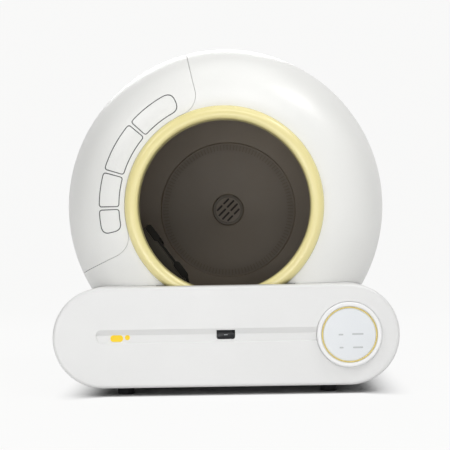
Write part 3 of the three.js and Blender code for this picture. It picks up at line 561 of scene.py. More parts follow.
white = moulded("white_shell", (238, 238, 235), (233, 233, 230), 0.34, depth=0.000006)
white_base = moulded("white_base", (230, 230, 229), (226, 226, 225), 0.3, depth=0.000004)
white_pan = moulded("white_pan", (234, 234, 234), (228, 228, 228), 0.42)
# The pod's white, also used on the base's top, where its brighter tone is painted light along the base's
# top edge.
white_pod_and_painted_top_light = moulded("white_pod_and_painted_top_light", (242, 242, 242), (239, 239, 239), 0.3, depth=0.000006)
yellow = moulded("pale_yellow", (237, 226, 164), (233, 221, 157), 0.25, depth=0.000005,
                 Coat_Weight=0.25, Coat_Roughness=0.12)
# The drum's plastic, painted a shade darker on the back wall's sunk disc: painted shade.
smoke_painted_disc_shade = moulded("smoky_brown", (163, 149, 131), (153, 140, 123), 0.36, depth=0.00001,
                inside=(drum.recess_radius, 0.16, (0, 0, 0)), Specular_IOR_Level=0.3)
# The vent cover: its lower rim is painted darker than its face, a painted shade.
smoke_vent_painted_rim_shade = moulded("vent_smoky_brown_painted_rim_shade", (126, 115, 100), (117, 107, 93), 0.36, depth=0.00001,
                     inside=(vent.face, 0.9, (154, 141, 124)), Specular_IOR_Level=0.3)
# The pocket's front wall: a darker smoky brown, painted shade for the pocket behind the sieve.
smoke_painted_pocket_shade = moulded("smoky_brown_painted_pocket_shade", (51, 47, 39), (44, 40, 33), 0.45, depth=0.00001,
                     Specular_IOR_Level=0.15)
# The drum's ribs: a darker copy of the drum's plastic, painted shade that picks them out.
smoke_painted_rib_shade = moulded("smoky_brown_painted_rib_shade", (141, 129, 112), (132, 120, 104), 0.5, depth=0.00001,
                    Specular_IOR_Level=0.2)
soft_black = moulded("soft_black", (21, 19, 15), (16, 14, 11), 0.45, Specular_IOR_Level=0.08)
grey = moulded("grey_acetal", (146, 149, 152), (134, 137, 141), 0.45)
dark = moulded("gloss_black", (24, 25, 28), (17, 18, 21), 0.22, 300, 0.000002, Specular_IOR_Level=0.3)
rubber = moulded("black_rubber", (28, 28, 30), (20, 20, 22), 0.8, 700, 0.00006)
bin_grey = moulded("matt_grey", (120, 122, 124), (110, 112, 114), 0.52, 900, 0.00003)
mat_grey = moulded("soft_mat", (92, 88, 80), (82, 77, 70), 0.85, 450, 0.00012)
plate = moulded("touch_plate", (232, 235, 237), (228, 231, 234), 0.4, 300, 0.000002)
yellow_print = moulded("yellow_print", (255, 216, 0), (250, 208, 0), 0.4)
grey_print = moulded("grey_print", (84, 86, 86), (76, 78, 79), 0.5)
pale_print = moulded("pale_print", (196, 199, 200), (189, 192, 193), 0.5)
pale_gold = moulded("pale_gold", (250, 238, 186), (246, 232, 176), 0.35)
gold = metal("satin_gold", (206, 184, 104), (192, 170, 90), 0.4, (1, 12, 1))
steel = metal("zinc_steel", (196, 199, 203), (176, 180, 185), 0.3, (1, 10, 1))


def charcoal_finish():
    finish = Finish("charcoal_block")
    pores = finish.noise(scale=900, detail=4, roughness=0.7)
    finish.feed("Base Color", finish.mixed(pores, colour(64, 56, 51), colour(90, 80, 73)))
    finish.feed("Roughness", finish.ranged(pores, 0.3, 0.7, 0.8, 0.98))
    finish.bumped(pores, 0.0003)
    return finish.material


def board_finish():
    finish = Finish("green_board")
    cells = {"Vector": finish.place(), "Scale": 240, "Randomness": 0.4}
    tracks = finish.node("ShaderNodeTexVoronoi", {"feature": "DISTANCE_TO_EDGE"}, cells)
    lines = finish.ranged(tracks, 0.05, 0.09, 1, 0)
    finish.feed("Base Color", finish.mixed(lines, colour(26, 92, 56), colour(58, 128, 84)))
    finish.feed("Roughness", finish.ranged(lines, 0, 1, 0.32, 0.45))
    finish.bumped(lines, 0.00005)
    return finish.material


# The sensor's pale dash glows faintly by itself: painted light.
def painted_glow_finish():
    finish = Finish("painted_glow_dash", Emission_Strength=0.25)
    glow = finish.noise(scale=300, detail=1)
    finish.feed("Base Color", finish.mixed(glow, colour(120, 124, 126), colour(136, 138, 140)))
    finish.feed("Emission Color", finish.mixed(glow, colour(205, 210, 214), colour(226, 230, 232)))
    return finish.material


carbon = charcoal_finish()
green_board = board_finish()
painted_glow_dash = painted_glow_finish()


# The housing: a dome, a barrel and a rounded back

def dome_y(radius):
    """Where the dome's skin is at a distance from the axis."""
    start = ring.outer - ring.seat
    if radius <= start:
        return base.step
    share = min(1, (radius - start) / (housing_radius - start))
    return base.step + housing.dome_depth * (1 - sqrt(1 - share**2))


def base_angle(radius):
    """How far below level, in degrees, a circle about the drum's axis meets the base."""
    drop = axis_z - top_z - gap
    angle = asin(drop / radius)
    if radius * cos(angle) <= end_x:
        return degrees(angle)
    reach = hypot(end_x, axis_z - mid_z)
    share = (reach**2 + radius**2 - (end_radius + gap) ** 2) / (2 * reach * radius)
    return degrees(atan2(axis_z - mid_z, end_x) - acos(share))


def cover_corner(grow):
    """The radius of the side cover's corners by the ring, and how far their middles are from the axis."""
    corner = cover.corner + grow
    return corner, ring.outer + cover.seam - grow + corner


def cover_edges(radius, grow):
    """The angles between which the side cover lies at a distance from the axis."""
    corner, centre = cover_corner(grow)
    spread = degrees(grow / ring.outer)
    swing = degrees(asin(corner / centre))
    inside = swing
    if radius < sqrt(centre**2 - corner**2):
        share = (radius**2 + centre**2 - corner**2) / (2 * radius * centre)
        inside = degrees(acos(min(1, share)))
    drawn_in = swing - inside
    return cover.start - spread + drawn_in, cover.end + spread - drawn_in


def dome_stations(grow, corner_steps=14, dome_steps=40, barrel_steps=10):
    """Distances from the axis and depths, from the entry ring out over the dome and back to the seam."""
    corner, centre = cover_corner(grow)
    last = degrees(acos(corner / centre))
    turns = [radians(last * i / corner_steps) for i in range(corner_steps + 1)]
    radii = [sqrt(centre**2 + corner**2 - 2 * centre * corner * cos(a)) for a in turns]
    start = ring.outer - ring.seat
    lean = asin((radii[-1] - start) / (housing_radius - start))
    turns = [lean + (pi / 2 - lean) * i / dome_steps for i in range(1, dome_steps + 1)]
    radii += [start + (housing_radius - start) * sin(a) for a in turns]
    barrel = base.step + housing.dome_depth
    length = seam_y - gap - barrel
    depths = [barrel + length * i / barrel_steps for i in range(1, barrel_steps + 1)]
    return [(radius, dome_y(radius)) for radius in radii] + [(housing_radius, y) for y in depths]


def fan(stations, limits, count):
    """Rows of points round the axis, between the two angles that a function gives at each radius."""
    rows = []
    for radius, y in stations:
        low, high = limits(radius)
        turns = [radians(low + (high - low) * i / count) for i in range(count + 1)]
        rows.append([(radius * cos(a), y, axis_z + radius * sin(a)) for a in turns])
    return rows


def grid_faces(rows, first=0):
    """The faces between rows of as many points, which are numbered on from the first."""
    width = len(rows[0])
    starts = [first + i * width + j for i in range(len(rows) - 1) for j in range(width - 1)]
    return [(a, a + 1, a + width + 1, a + width) for a in starts]


def housing_sheet(*patches):
    """A part of the housing, from patches of rows that meet at shared points."""
    points, faces = [], []
    for rows in patches:
        faces += grid_faces(rows, len(points))
        points += [point for row in rows for point in row]
    return thickened(points, faces)


def thickened(points, faces):
    """A surface round the housing's middle, given the housing's wall on its inside."""
    piece = mesh_object(points, faces)
    middle = piece.data.polygons[len(piece.data.polygons) // 2]
    if middle.normal.dot(middle.center - Vector((0, seam_y, axis_z))) < 0:
        piece.data.flip_normals()
    solid = piece.modifiers.new("wall", "SOLIDIFY")
    having(solid, thickness=housing.wall, offset=-1, use_even_offset=False)
    return applied(piece)


def housing_front():
    """The front shell: the dome to the right and left of the side cover, and the flat behind the ring."""
    grow = cover.seam
    stations = dome_stations(grow)
    right = fan(stations, lambda r: (-base_angle(r), cover_edges(r, grow)[0]), columns.right)
    left = fan(stations, lambda r: (cover_edges(r, grow)[1], 180 + base_angle(r)), columns.left)
    inner, outer = ring.inner + ring.collar + gap, stations[0][0]
    radii = [inner + (outer - inner) * i / 5 for i in range(6)]
    flat = [(radius, dome_y(radius)) for radius in radii]
    low = base_angle(outer)
    top, bottom = cover_edges(outer, grow)
    spans = [((-low, top), columns.right), ((top, bottom), columns.beside_cover),
             ((bottom, 180 + low), columns.left), ((180 + low, 360 - low), columns.below)]
    patches = [fan(flat, lambda r, ends=ends: ends, count) for ends, count in spans]
    piece = housing_sheet(right, left, *patches)
    placed("housing_front_shell", piece, "chassis", white, ["housing_front"], 0.4)


def side_cover():
    grow = cover.seam - cover.line
    piece = housing_sheet(fan(dome_stations(grow), lambda r: cover_edges(r, grow), columns.cover))
    placed("side_cover_shell", piece, "side_cover", white, ["side_cover"], 0.3)
    frames = merged([printed_frame(*spec) for spec in blank_frames])
    placed("side_cover_frames", frames, "side_cover", grey_print)


def printed_frame(start, end, first_corner, last_corner):
    """The line of a blank frame printed on the dome between two angles."""
    middle = (print_line.inner + print_line.outer) / 2
    edges = []
    for grow in (-print_line.width / 2, print_line.width / 2):
        low, high = (radians(a) * middle for a in (start, end))
        box = band(low - grow, high + grow, print_line.inner - grow, print_line.outer + grow)
        corners = [size + grow for size in (first_corner, last_corner, last_corner, first_corner)]
        edges.append(stepped(softened(box, corners, 6), 12))
    root, rise = -print_line.root, print_line.rise
    sections = []
    for (s0, r0), (s1, r1) in zip(*edges):
        corners = [(r0, s0, root), (r0, s0, rise), (r1, s1, rise), (r1, s1, root)]
        sections.append([on_dome(radius, s / middle, height) for radius, s, height in corners])
    return hoop(sections)


def stepped(points, count):
    """An outline with each of its lines split into as many parts."""
    ends = [Vector(p) for p in points]
    return [tuple(a.lerp(b, i / count)) for a, b in zip(ends, ends[1:] + ends[:1]) for i in range(count)]


def on_dome(radius, angle, rise):
    """A point on the dome's skin, or a little above or below it."""
    slope = dome_y(radius + 0.5) - dome_y(radius - 0.5)
    across = Vector((cos(angle), 0, sin(angle)))
    upward = (across * slope - Vector((0, 1, 0))).normalized()
    return across * radius + Vector((0, dome_y(radius), axis_z)) + upward * rise


def housing_rear():
    """The rear shell: barrel, rounded back and a flat disc with a grille of upright slots."""
    start_y = seam_y + gap
    round_y = base.depth - housing.back_round
    stations = [(housing_radius, start_y + (round_y - start_y) * i / 12) for i in range(13)]
    round_from = housing_radius - housing.back_round
    stations += quarter(round_from, round_y, housing.back_round, housing.back_round, 24)[-2::-1]
    rows = fan(stations, lambda r: (-base_angle(r), 180 + base_angle(r)), columns.rear)
    points = [point for row in rows for point in row]
    flat_points, flat_faces = filled([[(x, z) for x, _, z in rows[-1]]] + grille_slots())
    faces = grid_faces(rows) + [tuple(len(points) + i for i in face) for face in flat_faces]
    points += [(x, base.depth, z) for x, z in flat_points]
    piece = thickened(points, faces)
    placed("housing_rear_shell", piece, "chassis", white, ["housing_rear"], 0.4)


def grille_slots():
    loops = []
    half_width = grille.width / 2
    for i in range(grille.slots):
        x = (i - (grille.slots - 1) / 2) * grille.pitch
        reach = (grille.slots / 2 + 1) * grille.pitch
        half = grille.height / 2 * sqrt(1 - (x / reach) ** 2) - half_width
        z = axis_z + grille.rise
        loops.append(arc(x, z + half, half_width, 0, 180, 8) + arc(x, z - half, half_width, 180, 360, 8))
    return loops


def filled(loops):
    """Triangles over a flat outline with holes in it."""
    work = bmesh.new()
    edges = []
    for loop in loops:
        corners = [work.verts.new((x, z, 0)) for x, z in loop]
        edges += [work.edges.new((corners[i - 1], corners[i])) for i in range(len(corners))]
    bmesh.ops.triangle_fill(work, use_beauty=True, use_dissolve=False, edges=edges)
    work.verts.index_update()
    points = [(v.co.x, v.co.y) for v in work.verts]
    faces = [tuple(v.index for v in face.verts) for face in work.faces]
    work.free()
    return points, faces


def entry_ring():
    back = base.step - gap
    half = (ring.outer - ring.inner) / 2
    middle = ring.inner + half
    inner_side = quarter(middle, back, -half, -ring.proud, 20, ring.squareness)[1:][::-1]
    outer_side = quarter(middle, back, half, -ring.proud, 20)
    collar = ring.inner + ring.collar
    end = base.step + ring.collar_depth
    profile = [*inner_side, *outer_side, (collar, back), (collar, end), (ring.inner, end)]
    piece = turned(profile, count=sides.ring)
    placed("entry_ring_cap", piece, "chassis", yellow, ["entry_ring"], 0.3)


# The base

def well_outline(grow):
    opening_half = sqrt(tip_radius**2 - (axis_z - top_z) ** 2) + opening.side_gap
    rail_half = sqrt(rail_radius**2 - (axis_z - top_z) ** 2)
    half = opening_half + grow
    narrow = notch_half() + grow
    front = drum_y.front - opening.front_gap - grow
    bend = rail_half + opening.front_gap + grow
    side = [(narrow, front), (bend, drum_y.front + opening.bend - grow),
            (half, drum_y.front + opening.taper)]
    back = drum_y.back + opening.back_gap + grow
    outline = [*side, (half, back), *[(-x, y) for x, y in [(half, back), *side[::-1]]]]
    return softened(outline, [0, 6, 10, 8, 8, 10, 6, 0], 6)


def notch_half():
    return sqrt(ring.outer**2 - (axis_z - top_z) ** 2) + notch.side_gap


def base_skin():
    """The base's pill-shaped body behind the drawer's front, open inside, with its back edge rounded."""
    soft = base.back_round
    outer = [(bulkhead.front, pill(0))]
    outer += [(base.depth - soft + soft * along, pill(soft * drawn)) for along, drawn in edge_steps(6)]
    return cut(loft(outer), prism(pill(base.wall), bulkhead.back, base.depth - base.wall))


def base_half(z0, z1):
    far = base.width
    return kept(base_skin(), block(-far, far, 0, far + base.depth, z0, z1))


def base_top():
    far = base.width
    well_top = top_z + overrun + opening.curb_height
    slot_front = base.step - ring.proud - notch.front_gap
    half = notch_half()
    curb = cut(
        prism(well_outline(opening.curb), top_z - base.wall, top_z + opening.curb_height, "z"),
        prism(well_outline(0), mid_z, well_top, "z"),
        block(-far, far, 0, drum_y.front, mid_z, top_z + base.height),
    )
    skin = cut(
        base_half(mid_z + gap / 2, top_z + base.height),
        rod(end_x, mid_z, pod.wire_hole, 0, bulkhead.back + gap),
        prism(well_outline(0), mid_z, well_top, "z"),
        block(-half, half, slot_front, drum_y.front, mid_z, top_z + overrun),
    )
    piece = joined(skin, curb)
    # The base's top takes the pod's brighter white: painted light along the base's top edge.
    placed("base_top_shell", piece, "chassis", white_pod_and_painted_top_light, ["base_top"], 0.5, flat=True)


def socket_place():
    return base.width / 2 - socket.from_end, mid_z - socket.below_seam


def feet_places():
    x = base.width / 2 - foot.from_end
    return [(side * x, y) for side in (-1, 1) for y in (foot.inset, base.depth - foot.inset)]


def base_pan():
    bay = (bin_left - waste.side_gap, bin_right + waste.side_gap)
    socket_x, socket_z = socket_place()
    skin = cut(
        base_half(0, mid_z - gap / 2),
        block(*bay, 0, bulkhead.back + gap, bin_bottom - gap, deck_bottom),
        rod(socket_x, socket_z, socket.hole, base.depth - base.wall - overrun, base.depth + overrun,
            sides.small),
        *[stud(x, y, foot.neck + gap, 0, floor_z + overrun) for x, y in feet_places()],
    )
    half = runner.width / 2
    low = floor_z - weld
    rib_top = floor_z + runner.guide_height
    stop_y = bin_back + waste.side_gap
    ribs = [block(x - half, x + half, bulkhead.back - weld, bin_back, low, bin_bottom - gap)
            for x in (bin_left + runner.inset, bin_right - runner.inset)]
    ribs += [block(x, x + runner.guide, bulkhead.back - weld, bin_back, low, rib_top)
             for x in (bay[0] - runner.guide, bay[1])]
    ribs.append(block(bin_left, bin_right, stop_y, stop_y + runner.guide, low, rib_top))
    for side in (-1, 1):
        for y in (post.front, base.depth - post.behind):
            column = stud(side * post_x, y, post.radius, base.floor, deck_bottom - gap)
            ribs.append(kept(column, prism(pill(gap), 0, base.depth)))
    board_x = bin_right + waste.side_gap + runner.guide + board.inset
    for x in (board_x + board.inset, board_x + board.width - board.inset):
        for y in (board.front + board.inset, board.front + board.length - board.inset):
            ribs.append(stud(x, y, board.stand_radius, low, floor_z + board.stand))
    piece = joined(skin, *ribs)
    placed("base_pan_shell", piece, "chassis", white_pan, ["base_pan"], 0.5, flat=True)


def rubber_feet():
    neck_top = floor_z + foot.neck_rise
    top = foot.height - gap
    profile = [(0, 0), (foot.radius, 0), (foot.radius, top), (foot.neck, top), (foot.neck, neck_top),
               (0, neck_top)]
    profile = softened(profile, [0, foot.chamfer, 0.8, 0.4, 0.4, 0], 5)
    names = ["front_left", "rear_left", "front_right", "rear_right"]
    for name, (x, y) in zip(names, feet_places()):
        piece = turned_up(profile, x, y)
        placed(f"rubber_foot_{name}", piece, "chassis", rubber, [f"foot_{name}"])


# The drawer

def sensor_outline(grow):
    half = sensor.width / 2 + grow
    top = mid_z + sensor.above + grow
    bottom = mid_z - sensor.below - grow
    corner = sensor.corner + grow
    return [
        (-half, top), *arc(-half + corner, bottom + corner, corner, 180, 270, 10),
        *arc(half - corner, bottom + corner, corner, -90, 0, 10), (half, top),
    ]


def drawer_front():
    """The drawer's pill-shaped front: a rounded shell with a finger groove, open for pod and sensor."""
    soft = fascia.fillet
    loops = [(fascia.depth, pill(0)), (soft, pill(0))]
    loops += [(soft * (1 - along), pill(soft * drawn)) for along, drawn in edge_steps(12)[1:]]
    inside = prism(pill(base.wall), fascia.front, fascia.depth + overrun)
    shell = joined(
        cut(loft(loops), inside),
        rod(end_x, mid_z, pod_hole + fascia.collar, fascia.front - weld, fascia.depth, 128),
        prism(sensor_outline(sensor.clearance + fascia.collar), fascia.front - weld, fascia.depth),
    )
    low, high = mid_z - groove.below, mid_z + groove.above
    slope = [(-overrun, low - overrun), (groove.depth, low - overrun), (groove.depth, high - groove.slope),
             (0, high), (-overrun, high)]
    finger = kept(
        prism(rounded_box(-groove.left, end_x, low, high, groove.below), -overrun, fascia.depth),
        prism(slope, -groove.left - overrun, end_x, "x"),
    )
    lip = [(-overrun, low + groove.lip), (-overrun, low - groove.lip - overrun),
           (groove.lip, low), (groove.lip, low + groove.lip)]
    shell = cut(
        shell,
        finger,
        prism(lip, 2 * groove.below - groove.left, end_x, "x"),
        rod(end_x, mid_z, pod.radius + pod.line, -overrun, base.depth, sides.pod),
        prism(sensor_outline(sensor.clearance), -overrun, fascia.depth + overrun),
    )
    placed("drawer_face", shell, "drawer", white_base, ["drawer_front"], 0.6,
           flat=True, crease=20, segments=3)


def bin_plan(inset=0, front_inset=0, corner=waste.corner):
    """The waste bin's outline from above, drawn in at its sides and back, and at its front."""
    front = fascia.front + gap
    return rounded_box(bin_left + inset, bin_right - inset, front + front_inset, bin_back - inset, corner)


def waste_bin():
    wall = prism(bin_plan(waste.rim), bin_bottom, bin_top, "z")
    rim = prism(bin_plan(), bin_top - waste.rim_height, bin_top, "z")
    inner = bin_plan(waste.rim + waste.wall, waste.wall, waste.corner - waste.wall)
    piece = cut(joined(wall, rim), prism(inner, bin_bottom + waste.floor, bin_top + overrun, "z"))
    placed("waste_bin_box", piece, "drawer", bin_grey, ["waste_bin"], 0.7, flat=True)


def bag_ring():
    low = bin_top + gap
    hole = bin_plan(bag.width, bag.width, waste.corner - waste.wall)
    piece = cut(
        prism(bin_plan(), low, low + bag.thickness, "z"),
        prism(hole, low - overrun, low + overrun, "z"),
    )
    placed("bag_ring_frame", piece, "drawer", grey, ["bag_ring"], 0.6, flat=True)


def front_mark():
    """A plain yellow mark at the groove's left end: a bar and a dot."""
    x, z = -mark.left, mid_z - mark.drop
    bar = rounded_box(x, x + mark.length, z - mark.half, z + mark.half, mark.corner)
    dot = disc(x + mark.dot_from, z + mark.dot_rise, mark.dot_radius, sides.small)
    pieces = [prism(shape, groove.depth - mark.rise, groove.depth + mark.root) for shape in (bar, dot)]
    placed("yellow_mark", merged(pieces), "drawer", yellow_print)


# The control pod and sensor

def pod_cup():
    edge = quarter(pod.radius - pod.round, pod.round - pod.proud, pod.round, -pod.round, 10)
    back = bulkhead.front - gap
    profile = [
        (well_radius, pod.deep_ease - pod.proud + pod.bevel),
        (well_radius + pod.ease, pod.ease - pod.proud),
        (well_radius + pod.bevel, -pod.proud), *edge, (pod.radius, back), (pod.radius - pod.lip, back),
        (pod.radius - pod.lip, pod.well), (0, pod.well), (0, pod.well - pod.lip),
        (well_radius, pod.well - pod.lip),
    ]
    placed("pod_cup", turned_in_pod(profile), "chassis", white_pod_and_painted_top_light, ["pod_bezel"])


def light_ring():
    """The pale ring in the pod's well, and the thin gold line on its face."""
    front = -pod.proud + light.sink
    outer = well_radius - gap
    pale = softened(band(outer - light.width, outer, front, front + light.thickness), 0.5)
    placed("pale_ring", turned_in_pod(pale), "chassis", pale_gold, ["light_ring"])
    low = outer - (light.width + light.line) / 2
    line = softened(band(low, low + light.line, front - light.rise, front + light.sink), 0.1, 2)
    placed("gold_line", turned_in_pod(line), "chassis", gold)


def touch_plate():
    front = -pod.proud + touch.sink
    edge = well_radius - light.width - 2 * gap
    ledge = light.thickness + light.sink + gap - pod.proud
    well_floor = pod.well - pod.lip - gap
    profile = [(0, front), (edge, front), (edge, ledge), (well_radius - gap, ledge),
               (well_radius - gap, well_floor), (0, well_floor)]
    piece = turned_in_pod(softened(profile, [0, 0.6, 0, 0.2, 0.2, 0]))
    placed("touch_face", piece, "chassis", plate, ["touch_plate"])


def touch_marks():
    """Four plain printed marks: short ones on the left, longer ones on the right."""
    y = -pod.proud + touch.sink
    half = touch.mark_half
    marks = []
    for dx, dz, length in plate_marks:
        x, z = end_x + dx, mid_z + dz
        outline = rounded_box(x - length / 2, x + length / 2, z - half, z + half, touch.mark_corner)
        marks.append(prism(outline, y - touch.mark_rise, y + touch.mark_rise))
    placed("touch_marks", merged(marks), "chassis", pale_print)


def sensor_window():
    """The dark window in the middle of the groove, with a small pale dash in it that glows faintly:
    painted light.
    """
    soft = sensor.edge
    front = groove.depth - sensor.sink
    loops = [(front, sensor_outline(-soft)), (front + soft * 0.3, sensor_outline(-soft * 0.3)),
             (front + soft, sensor_outline(0)), (fascia.depth, sensor_outline(0))]
    placed("sensor_lens", loft(loops), "chassis", dark, ["sensor_window"], crease=50)
    outline = rounded_box(-dash.half, dash.half, mid_z + dash.low, mid_z + dash.high, dash.corner)
    glowing_dash = prism(outline, front - dash.rise, front + dash.root)
    placed("sensor_painted_glow_dash", glowing_dash, "chassis", painted_glow_dash)


# The drum

def rail_round(y):
    """The outside of the drum's wall where it has a rail, from the rail's front."""
    end = y + rail.width
    return [(drum_radius, y), (rail_radius, y), (rail_radius, end), (drum_radius, end)]


def drum_front():
    lip_out = drum.lip + drum.wall
    shoulder_y = drum_y.front + drum.shoulder
    outer = quarter(lip_out, shoulder_y, drum_radius - lip_out, -drum.shoulder, 16)
    inner = quarter(lip_out, shoulder_y, drum_inside - lip_out, drum.wall - drum.shoulder, 16)[::-1]
    lip_end = drum_y.front + drum.lip_depth
    profile = [
        (drum.lip, drum_y.front), *outer, *rail_round(rail_y.front), (drum_radius, joint_y),
        (drum_inside, joint_y), *inner, (lip_out, lip_end), (drum.lip, lip_end),
    ]
    placed("drum_front_shell", turned(profile), "drum", smoke_painted_disc_shade, ["drum_front"], 0.5)


def drum_rear():
    """The drum's rear part: rail, waste port, back wall with its sunk disc, and the cartridge's cup."""
    back = drum_y.back
    disc_y = back + drum.recess
    cup = vent.radius + gap
    cup_back = disc_y + vent.sink + vent.thickness + cartridge.thickness
    wall = drum.wall
    profile = [
        (drum_radius, joint_y + gap), *rail_round(rail_y.back), (drum_radius, back),
        (drum.recess_radius + wall, back), (drum.recess_radius + wall, disc_y), (cup + wall, disc_y),
        (cup + wall, cup_back + wall), (0, cup_back + wall), (0, cup_back), (cup, cup_back),
        (cup, drum_floor_y), (drum.recess_radius, drum_floor_y), (drum.recess_radius, back - wall),
        (drum_inside, back - wall), (drum_inside, joint_y + gap),
    ]
    radii = [0, 0, 0.6, 0.6, 0, drum.corner, 0.6, 0.6, 1, 0.8, 0, 0, 0.5, 2.8, 2.4, 2, drum.corner, 0]
    window = sector(drum_radius + overrun, drum_inside - overrun, port.start, port.end, 24)
    shell = cut(turned(softened(profile, radii, 5)), prism(window, port_y.front, port_y.back))
    placed("drum_rear_shell", shell, "drum", smoke_painted_disc_shade, ["drum_rear"])


def drum_ticks():
    """The ring of small raised ribs on the back wall's sunk disc, in a darker brown: painted shade that
    picks them out.
    """
    front, back = drum_floor_y - tick.rise, drum_floor_y + tick.root
    ribs = []
    for i in range(tick.count):
        rib = block(tick.inner, tick.outer, front, back, -tick.half, tick.half)
        ribs.append(round_axis(rib, 2 * pi * i / tick.count))
    placed("drum_ribs", merged(ribs), "drum", smoke_painted_rib_shade)


def vent_disc():
    """The slotted cover, with a raised face and a lower rim that is painted darker, a painted shade."""
    y0 = drum_floor_y + vent.sink
    y1 = y0 + vent.thickness
    low = y0 + vent.step
    face = turned([
        (vent.radius, low), (vent.radius, y1), (0, y1), (0, y0), (vent.face, y0), (vent.face, low),
    ])
    slots = []
    for row_share in (-1.5, -0.5, 0.5, 1.5):
        z = row_share * vent.pitch
        half = sqrt(vent.reach**2 - z**2)
        for x0, x1 in ((-half, -vent.bridge / 2), (vent.bridge / 2, half)):
            outline = rounded_box(x0, x1, z - vent.slot / 2, z + vent.slot / 2, vent.slot_corner, 6)
            slots.append(prism(outline, y0 - overrun, y0 + overrun))
    piece = cut(face, round_axis(merged(slots), radians(vent.tilt)))
    placed("vent_disc", piece, "drum", smoke_vent_painted_rim_shade, ["vent_cover"], 0.3, flat=True)


def sieve_body(grow, y0, y1):
    """The sieve without its slots: a bead at its free edge, a heel, and a strip that bends away."""
    bend = radians(sifter.bend)
    half, thick = sifter.thickness / 2 + grow, sifter.bead / 2 + grow
    corner = sifter.bead_corner + grow
    mitre = half * tan(bend / 2)
    start = sifter.bead_corner - sifter.lip
    ends = [(sifter.flat + drum_radius * cos(bend) + side * half * sin(bend),
             side * half * cos(bend) - drum_radius * sin(bend)) for side in (-1, 1)]
    strip = [(start, -half), (sifter.flat - mitre, -half), *ends, (sifter.flat + mitre, half),
             (start, half)]
    left, right = -sifter.lip - grow, sifter.bead_length - sifter.lip + grow
    return joined(
        prism(rounded_box(left, right, -thick, thick, corner), y0, y1),
        prism(rounded_box(sifter.heel - grow, sifter.flat + grow, -thick, thick, corner), y0, y1),
        prism(strip, y0, y1),
    )


def in_drum(piece):
    """Leans the sieve back from its front edge and takes it to its place in the drum."""
    facing = radians(sifter.facing)
    ahead = Matrix.Translation((0, sifter_y.front, 0))
    lean = ahead @ Matrix.Rotation(-radians(sifter.lean), 4, "X") @ ahead.inverted()
    spot = (sifter.distance * cos(facing), 0, axis_z + sifter.distance * sin(facing))
    piece.data.transform(Matrix.Translation(spot) @ Matrix.Rotation(1.5 * pi - facing, 4, "Y") @ lean)
    return piece


def sifter_grid():
    """The sieve, with a row of slots in its flat and one in its foot."""
    front, back = sifter_y.front, sifter_y.back
    bend = radians(sifter.bend)
    pitch = sifter.slot + sifter.bar
    count = int((back - front - 2 * sifter.margin + sifter.bar) // pitch)
    first = (front + back - count * pitch + sifter.bar) / 2
    far = sifter.distance + (back - front) * tan(radians(sifter.lean))
    along = sifter.flat * cos(bend) + far * sin(bend)
    reach = sqrt(along**2 - sifter.flat**2 - far**2 + drum_inside**2) - along
    foot_turn = Matrix.Translation((sifter.flat, 0, 0)) @ Matrix.Rotation(bend, 4, "Y")
    flat_start = sifter.bead_length - sifter.lip + sifter.margin
    rows = [(flat_start, sifter.heel - sifter.margin, Matrix.Identity(4)),
            (sifter.margin, reach - sifter.margin, foot_turn)]
    slots = []
    for x0, x1, turn in rows:
        for i in range(count):
            y0 = first + i * pitch
            outline = rounded_box(x0, x1, y0, y0 + sifter.slot, sifter.slot_corner, 6)
            slot = prism(outline, -overrun, overrun, "z")
            slot.data.transform(turn)
            slots.append(slot)
    body = cut(sieve_body(0, front - overrun, back + overrun), merged(slots))
    sieve = kept(in_drum(body), in_drum_space(front, back))
    placed("sifter_sieve", sieve, "drum", soft_black, ["sifter_grid"], 0.6, flat=True)


def pocket_wall():
    """The crescent that closes the pocket between the sieve and drum wall at the front; its dark brown is
    painted shade.
    """
    bend = radians(sifter.bend)
    far = 2 * drum_radius
    end = (sifter.flat + far * cos(bend), -far * sin(bend))
    behind = [(-sifter.lip, 0), (sifter.flat, 0), end, (end[0], -2 * far), (-sifter.lip, -2 * far)]
    y0, y1 = sifter_y.front, sifter_y.front + pocket.thickness
    span = (y0 - overrun, y1 + overrun)
    region = in_drum(cut(prism(behind, *span), sieve_body(gap, *span)))
    crescent = kept(region, in_drum_space(y0, y1))
    placed("pocket_front", crescent, "drum", smoke_painted_pocket_shade, ["pocket_wall"], 0.6, flat=True)


def litter_liner():
    outer = drum_inside - gap
    outline = sector(outer, outer - liner.thickness, liner.start, liner.end, 60)
    piece = prism(outline, sifter_y.front, sifter_y.back)
    placed("litter_mat", piece, "drum", mat_grey, ["litter_liner"], 0.4)


def scent_cartridge():
    y0 = drum_floor_y + vent.sink + vent.thickness + gap
    end = y0 + cartridge.thickness - 2 * gap
    edge = cartridge.edge
    profile = softened(band(0, vent.radius - cartridge.narrower, y0, end), [0, edge, edge, 0])
    piece = turned(profile, count=96)
    placed("scent_puck", piece, "drum", carbon, ["scent_cartridge"])


# The back

def power_socket():
    x, z = socket_place()
    back = base.depth - base.wall - gap
    front = back - socket.depth
    half, rise = socket.width / 2, socket.height / 2
    shell = cut(
        joined(
            block(x - half, x + half, front, back, z - rise, z + rise),
            rod(x, z, socket.hole - gap, back - weld, base.depth, sides.small),
        ),
        rod(x, z, socket.barrel, front + base.wall, base.depth + overrun, sides.small),
    )
    placed("socket_body", shell, "chassis", dark, ["power_socket"], 0.3, flat=True)
    tip = front + base.wall + socket.pin_length
    profile = softened(band(0, socket.pin, front + weld, tip), [0, 0, socket.pin / 2, 0])
    placed("socket_pin", turned(profile, x, z, 32), "chassis", steel)


def carried_over():
    """The solids whose own shape shows, in finishes of their own."""
    finishes = [
        (grey, ("drum_cradle", "ring_gear", "drive_pinion", "roller_")),
        (steel, ("gear_motor", "pinion_shaft", "axle_", "deck_screw_")),
        (green_board, ("pod_board", "main_board")),
        (rubber, ("entry_seal",)),
    ]
    for finish, starts in finishes:
        for name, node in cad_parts.items():
            if name.startswith(starts):
                covered(node, finish)


# The studio

